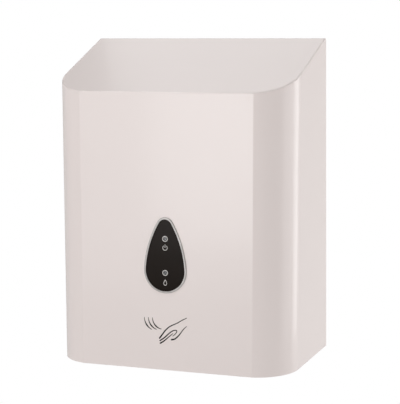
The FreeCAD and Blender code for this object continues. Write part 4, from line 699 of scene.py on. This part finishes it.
def make_window_marks():
    """Rings around the two indicators, with a power symbol and a drop under them."""
    low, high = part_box("indicator_lenses")
    lens_radius = 2.05
    lower_light = (low.z - BOTTOM) / MM + lens_radius
    upper_light = (high.z - BOTTOM) / MM - lens_radius
    spacing = upper_light - lower_light
    lens_proud = 0.5
    form = bmesh.new()
    for height in (0, spacing):
        add_ring(form, Vector((0, height)), 2.8, 2.12, INK)
    power = Vector((0, spacing - 8.6))
    add_ring(form, power, 2.6, 2.0, INK, 125, 415)
    add_stroke(form, [power + Vector((0, 0.4)), power + Vector((0, 3.0))], 0.6, 0.6, INK)
    drop = Vector((0, -9.2))
    count = 28
    outline = []
    for i in range(count):
        turn = 2 * math.pi * i / count
        outline.append(drop + Vector((2.3 * math.sin(turn) * math.sin(turn / 2), 3.0 * math.cos(turn))))
    inner = [drop + (point - drop) * 0.72 - Vector((0, 0.25)) for point in outline]
    add_outline_band(form, outline, inner, INK)
    new_piece(form, "window_marks", "cover", "light_ink", on_front(lower_light, lens_proud))


def add_outline_band(form, outer, inner, height):
    """Flat band between two closed outlines with as many points."""
    rows = []
    for outline, z in ((inner, 0), (outer, 0), (outer, height), (inner, height)):
        rows.append([form.verts.new((p.x, p.y, z)) for p in outline])
    for row, next_row in zip(rows, rows[1:] + rows[:1]):
        for k in range(len(outer)):
            following = (k + 1) % len(outer)
            form.faces.new((row[k], row[following], next_row[following], next_row[k]))


def make_control_marks():
    """Numbered scale around the dose dial, and the on and off marks of the switch."""
    dial = middle_in_front("dose_dial")
    switch = middle_in_front("switch_slider")
    form = bmesh.new()
    for i in range(7):
        turn = 225 - 45 * i
        add_stroke(form, [around(dial, 8.0, turn), around(dial, 9.2, turn)], 0.4, 0.4, INK)
        spot = around(dial, 11.2, turn)
        add_form(form, numeral(i + 1, 2.6, INK), (spot.x, spot.y, INK / 2))
    off = switch - Vector((0, 6.6))
    on = switch + Vector((0, 10.4))
    add_ring(form, off, 1.5, 1.05, INK)
    add_stroke(form, [on - Vector((0, 1.3)), on + Vector((0, 1.3))], 0.5, 0.5, INK)
    place = facing_front(0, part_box("display_housing")[0].y / MM, 0)
    new_piece(form, "control_marks", "base", "light_ink", place)


def middle_in_front(node):
    """A node's middle as it is seen from the front, in millimetres of the frame."""
    low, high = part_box(node)
    return Vector(((low.x + high.x) / 2 / MM, (low.z + high.z) / 2 / MM))


def make_door_marks():
    """Arrow and cell directions on the battery door."""
    low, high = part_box("battery_door")
    rib_height = 1.2
    ink = 0.12
    overlap_step = 0.002
    form = bmesh.new()
    foot = Vector(((low.x + high.x) / 2 / MM, low.z / MM))
    tip = foot + Vector((0, 35))
    add_stroke(form, [tip, tip + Vector((-5.5, -5.5))], 1.1, 1.1, ink)
    add_stroke(form, [tip, tip + Vector((5.5, -5.5))], 1.1, 1.1, ink, overlap_step)
    add_stroke(form, [foot + Vector((0, 24)), foot + Vector((0, 33.4))], 1.1, 1.1, ink)
    for height, plus_side in ((14.0, -1), (42.5, 1)):
        for side in (-1, 1):
            spot = foot + Vector((side * 24, height))
            add_stroke(form, [spot - Vector((1.8, 0)), spot + Vector((1.8, 0))], 0.7, 0.7, ink)
            if side == plus_side:
                for way in (-1, 1):
                    arm = [spot + Vector((0, way * 0.5)), spot + Vector((0, way * 1.8))]
                    add_stroke(form, arm, 0.7, 0.7, ink)
    place = facing_front(0, low.y / MM + rib_height, 0)
    new_piece(form, "door_marks", "battery_door", "light_ink", place)


# ---------------------------------------------------------------- details on the control board

# Places are in millimetres from the board's lower left corner.
# A chip's row also has its half width and half height, the legs on a side, and if all four sides have them.
CHIPS = ((21, 19, 6, 6, 8, True), (34.5, 18, 2.5, 3, 4, False))
PLUGS = ((13, 55), (24, 55), (17, 35), (32, 45))
CRYSTAL = Vector((32, 9))


def on_board():
    """Place on the control board's face, in millimetres from its lower left corner."""
    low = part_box("control_board")[0]
    return facing_front(low.x / MM, low.y / MM, low.z / MM)


def make_board_details():
    """Small resistors and the chips' legs."""
    bodies = bmesh.new()
    ends = bmesh.new()
    for x, z in resistor_places():
        add_block(bodies, (x - 0.65, x + 0.65), (z - 0.6, z + 0.6), (0, 0.5), 0.08)
        for side in (-1, 1):
            middle = x + side * 0.85
            add_block(ends, (middle - 0.2, middle + 0.2), (z - 0.63, z + 0.63), (0, 0.55), 0.06)
    for x, z, half_x, half_z, legs, both_ways in CHIPS:
        add_chip_legs(ends, x, z, half_x, half_z, legs, both_ways)
    new_piece(bodies, "board_resistors", "base", "resistor_body", on_board())
    new_piece(ends, "board_tinned_parts", "base", "tinned", on_board())


def make_crystal_can():
    """Flat can with round ends on a slightly wider foot."""
    radius = 1.7
    half_length = 2.6
    form = bmesh.new()
    outline = []
    for side, first in ((1, -90), (-1, 90)):
        centre = CRYSTAL + Vector((side * half_length, 0))
        outline += [around(centre, radius, first + turn) for turn in range(0, 181, 15)]
    add_plate(form, outline, 3.2, 0.3)
    foot = [CRYSTAL + (point - CRYSTAL) * 1.12 for point in outline]
    add_plate(form, foot, 0.3)
    new_piece(form, "crystal_can", "base", "nickel", on_board())


def resistor_places():
    """Resistors' places on the board: two rows of four, and two columns and two rows of three."""
    places = []
    for i in range(4):
        places.append((14.5 + 4.2 * i, 8.6))
        places.append((15.0 + 3.4 * i, 28.6))
    for i in range(3):
        places.append((11.0, 14.0 + 3.0 * i))
        places.append((6.5, 12.0 + 2.6 * i))
        places.append((33.0 + 3.2 * i, 38.0))
        places.append((14.0 + 3.4 * i, 42.5))
    return places


def add_chip_legs(form, x, z, half_x, half_z, legs, both_ways):
    """Legs along two or all four sides of a chip."""
    for i in range(legs):
        share = (i + 0.5) / legs * 2 - 1
        for side in (-1, 1):
            across = sorted((x + side * (half_x - 0.1), x + side * (half_x + 1.1)))
            spot = z + share * (half_z - 0.3)
            add_block(form, across, (spot - 0.2, spot + 0.2), (0, 0.55), 0.06)
            if both_ways:
                across = sorted((z + side * (half_z - 0.1), z + side * (half_z + 1.1)))
                spot = x + share * (half_x - 0.3)
                add_block(form, (spot - 0.2, spot + 0.2), across, (0, 0.55), 0.06)


def make_plugs():
    """Plugs at the wires' ends, in the sockets of the control board, each with two keys."""
    form = bmesh.new()
    for x, z in PLUGS:
        add_block(form, (x - 2.8, x + 2.8), (z - 1.6, z + 1.6), (2.0, 8.2), 0.3)
        for side in (-1, 1):
            key = x + side * 1.3
            add_block(form, (key - 0.5, key + 0.5), (z - 1.75, z - 1.5), (3.5, 7.6), 0.1)
    new_piece(form, "wire_plugs", "base", "ivory_plastic", on_board())


finish_nodes()
make_camera()
make_world()
make_lights()
make_floor()
make_hand_mark()
make_window_marks()
make_control_marks()
make_door_marks()
make_board_details()
make_crystal_can()
make_plugs()

bpy.context.scene.view_settings.view_transform = "Standard"
